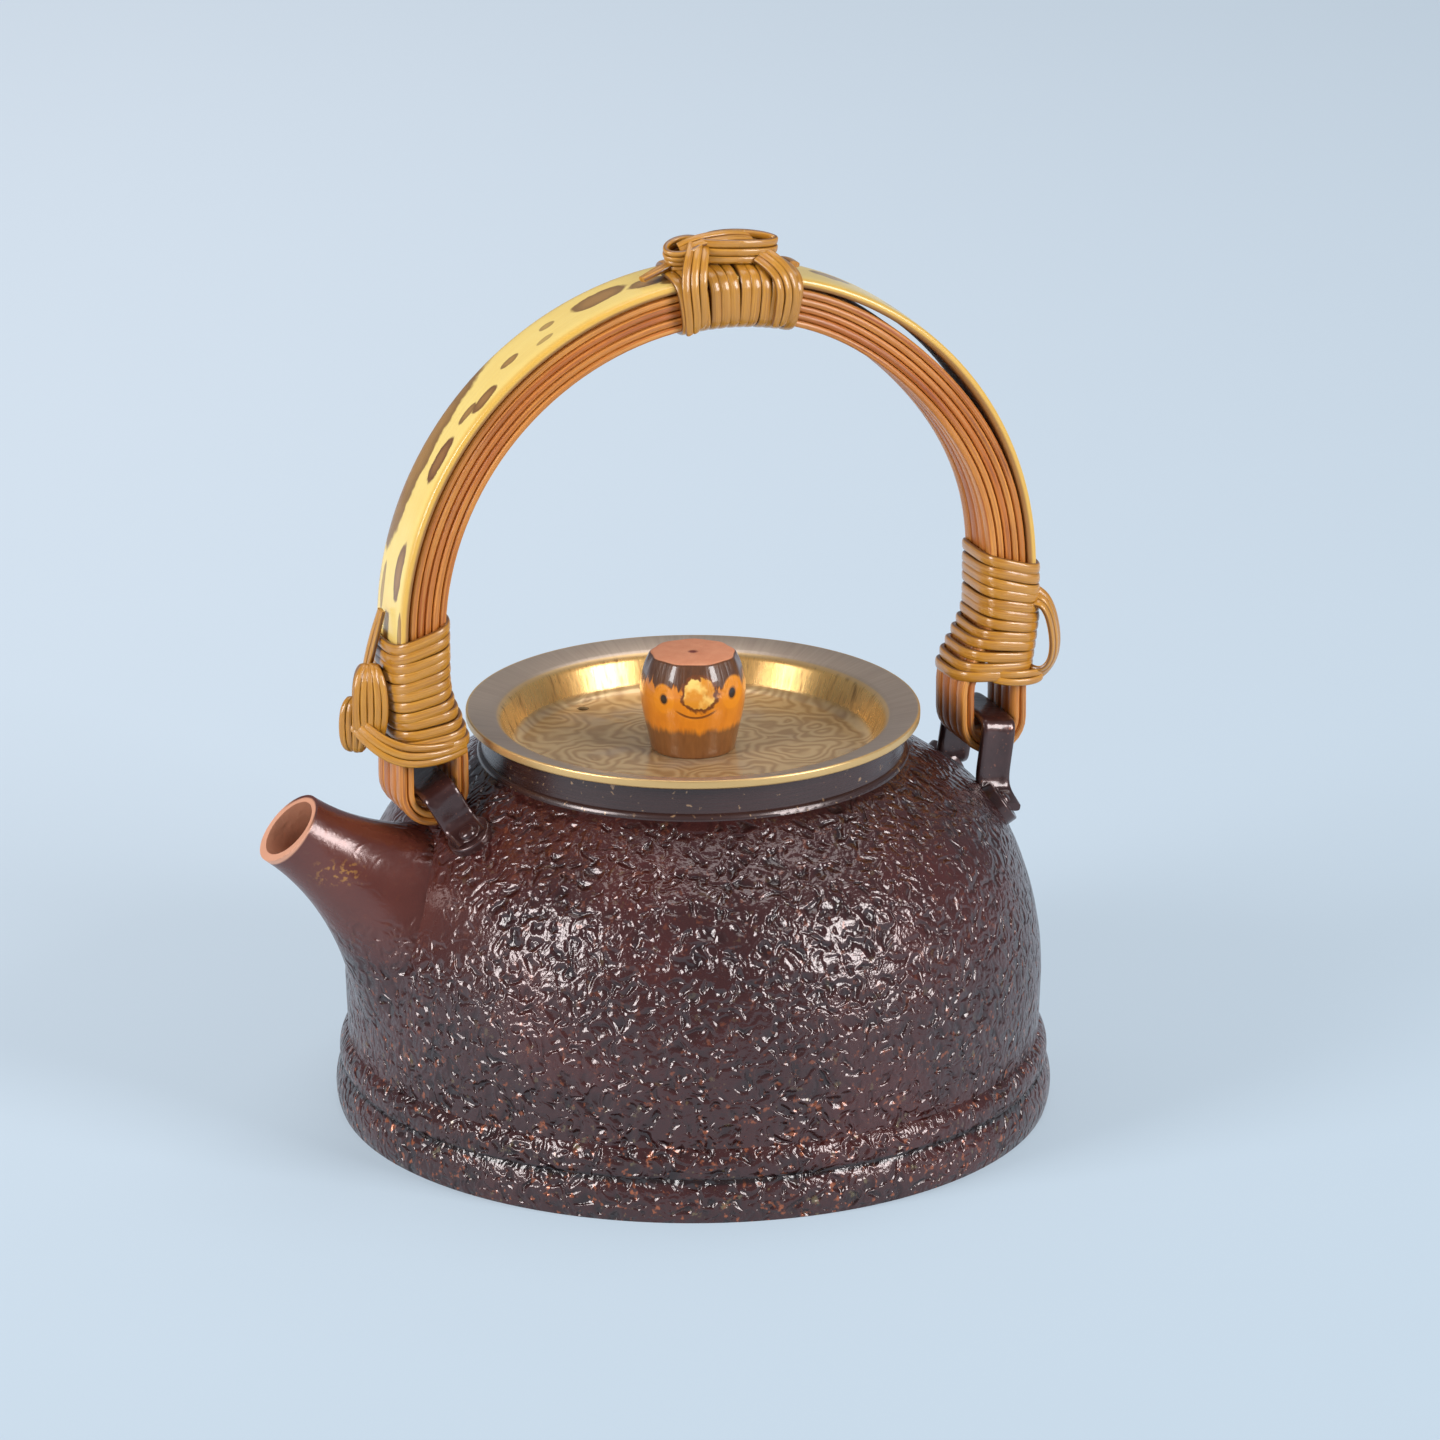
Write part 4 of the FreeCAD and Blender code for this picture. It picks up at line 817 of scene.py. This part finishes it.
bow = bmesh.new()
broad_loop = [(63.8, -5.6, 90.6), (65.8, -6.8, 90.6), (67.4, -7.2, 88.6), (68.3, -7.7, 84.6),
              (68.6, -7.9, 80.6), (67.8, -7.5, 77.0), (65.8, -6.8, 75.4), (63.8, -5.8, 75.4)]
tie(bow, broad_loop, 3, 1.62, 0.85, (0.74, -0.67, 0))
tail = [(65.4, -5.2, 87.6), (67.4, -1.6, 86.6), (67.9, 1.6, 85.6), (67.4, 5.2, 84.6), (65.6, 8.0, 84.0),
        (62.6, 8.9, 83.6)]
tie(bow, tail, 2, 1.6, 0.8, (1, 0.3, 0))
hitch = [(65.9, -6.9, 75.5), (65.2, -7.8, 75.5), (62.4, -8.8, 75.6), (58.4, -8.6, 75.9), (56.6, -7.3, 76.2)]
tie(bow, hitch, 2, 1.5, 0.7, (0.3, -1, 0))
tie_off(bow, "rear_knot")


# Floor, light and camera
# A plain pale blue-grey studio floor that fills the picture, two tall softboxes to the left and
# the right of the camera and a weak one above, and the camera at the photograph's place.
floor_radius, floor_inset, floor_glow, view_back = 5.0, 2.5, 0.52, (0.361, 0.932)
studio_floor, shader, place = new_finish("studio_floor", {"IOR": 1.3})
x, y, z = axes(place)
# The floor is painted lighter towards the back and a little darker to the right: painted light and shade
# across it.
painted_light_behind = (x * view_back[0] + y * view_back[1]).step(-0.6, 0.75)
painted_shade_aside = (x * view_right[0] + y * view_right[1]).step(-0.25, 0.30)
colour = tint(painted_light_behind, paint(182, 198, 211), paint(226, 238, 250))
colour = tint(painted_shade_aside * 0.45, colour, paint(180, 199, 214))
feed(shader, "Base Color", colour)
feed(shader, "Roughness", 0.6 + place.noise(30.0) * 0.1)
# The floor glows by about half for the camera and in mirrorings, as a lit backdrop does.
to_camera, in_mirror, through = (place.node("LightPath", {}, {}, n) for n in (0, 3, 6))
shown = x.math("MAXIMUM", x.math("MAXIMUM", to_camera, in_mirror), through) * floor_glow
glow = place.node("Emission", {}, {"Color": colour})
both = place.node("MixShader", {}, {0: shown, 1: Tone(place.tree, shader.outputs[0]), 2: glow})
place.tree.links.new(both.socket, place.tree.nodes["Material Output"].inputs["Surface"])
ground = bmesh.new()
bmesh.ops.create_circle(ground, cap_ends=True, segments=96, radius=floor_radius)
bmesh.ops.inset_region(ground, faces=ground.faces[:], thickness=floor_inset)
floor_mesh = bpy.data.meshes.new("studio_floor")
ground.to_mesh(floor_mesh)
ground.free()
floor_mesh.materials.append(studio_floor)
studio = bpy.data.objects.new("studio_floor", floor_mesh)
bpy.context.scene.collection.objects.link(studio)

target = Vector((0.004608, -0.001769, 0.072371))
lens = bpy.data.cameras.new("camera")
lens.lens = 217.14
lens.sensor_width = 36.0
camera = bpy.data.objects.new("camera", lens)
camera.location = (-0.53755, -1.40037, 0.58697)
sight = camera.location - target
camera.rotation_euler = sight.to_track_quat("Z", "Y").to_euler()
bpy.context.scene.collection.objects.link(camera)
bpy.context.scene.camera = camera
bpy.context.scene.view_settings.view_transform = "Standard"

# Softboxes as (name, degrees round from the camera, degrees up, metres off, width, height, watts).
for name, swing, rise, reach, wide, tall, power_of in (
        ("softbox_left", -57, 24, 1.15, 0.45, 0.6, 12.0),
        ("softbox_right", 58, 24, 1.15, 0.45, 0.6, 12.0),
        ("softbox_above", 160, 72, 1.3, 0.9, 0.9, 6.0)):
    lamp = bpy.data.lights.new(name, "AREA")
    lamp.shape = "RECTANGLE"
    lamp.size = wide
    lamp.size_y = tall
    lamp.energy = power_of
    hung = bpy.data.objects.new(name, lamp)
    turn, up = math.atan2(sight.y, sight.x) + math.radians(swing), math.radians(rise)
    way = Vector((math.cos(turn) * math.cos(up), math.sin(turn) * math.cos(up), math.sin(up)))
    hung.location = target + way * reach
    hung.rotation_euler = way.to_track_quat("Z", "Y").to_euler()
    bpy.context.scene.collection.objects.link(hung)

air = bpy.data.worlds.new("studio_air")
air.use_nodes = True
air.node_tree.nodes["Background"].inputs["Color"].default_value = paint(206, 218, 232)
air.node_tree.nodes["Background"].inputs["Strength"].default_value = 0.3
bpy.context.scene.world = air
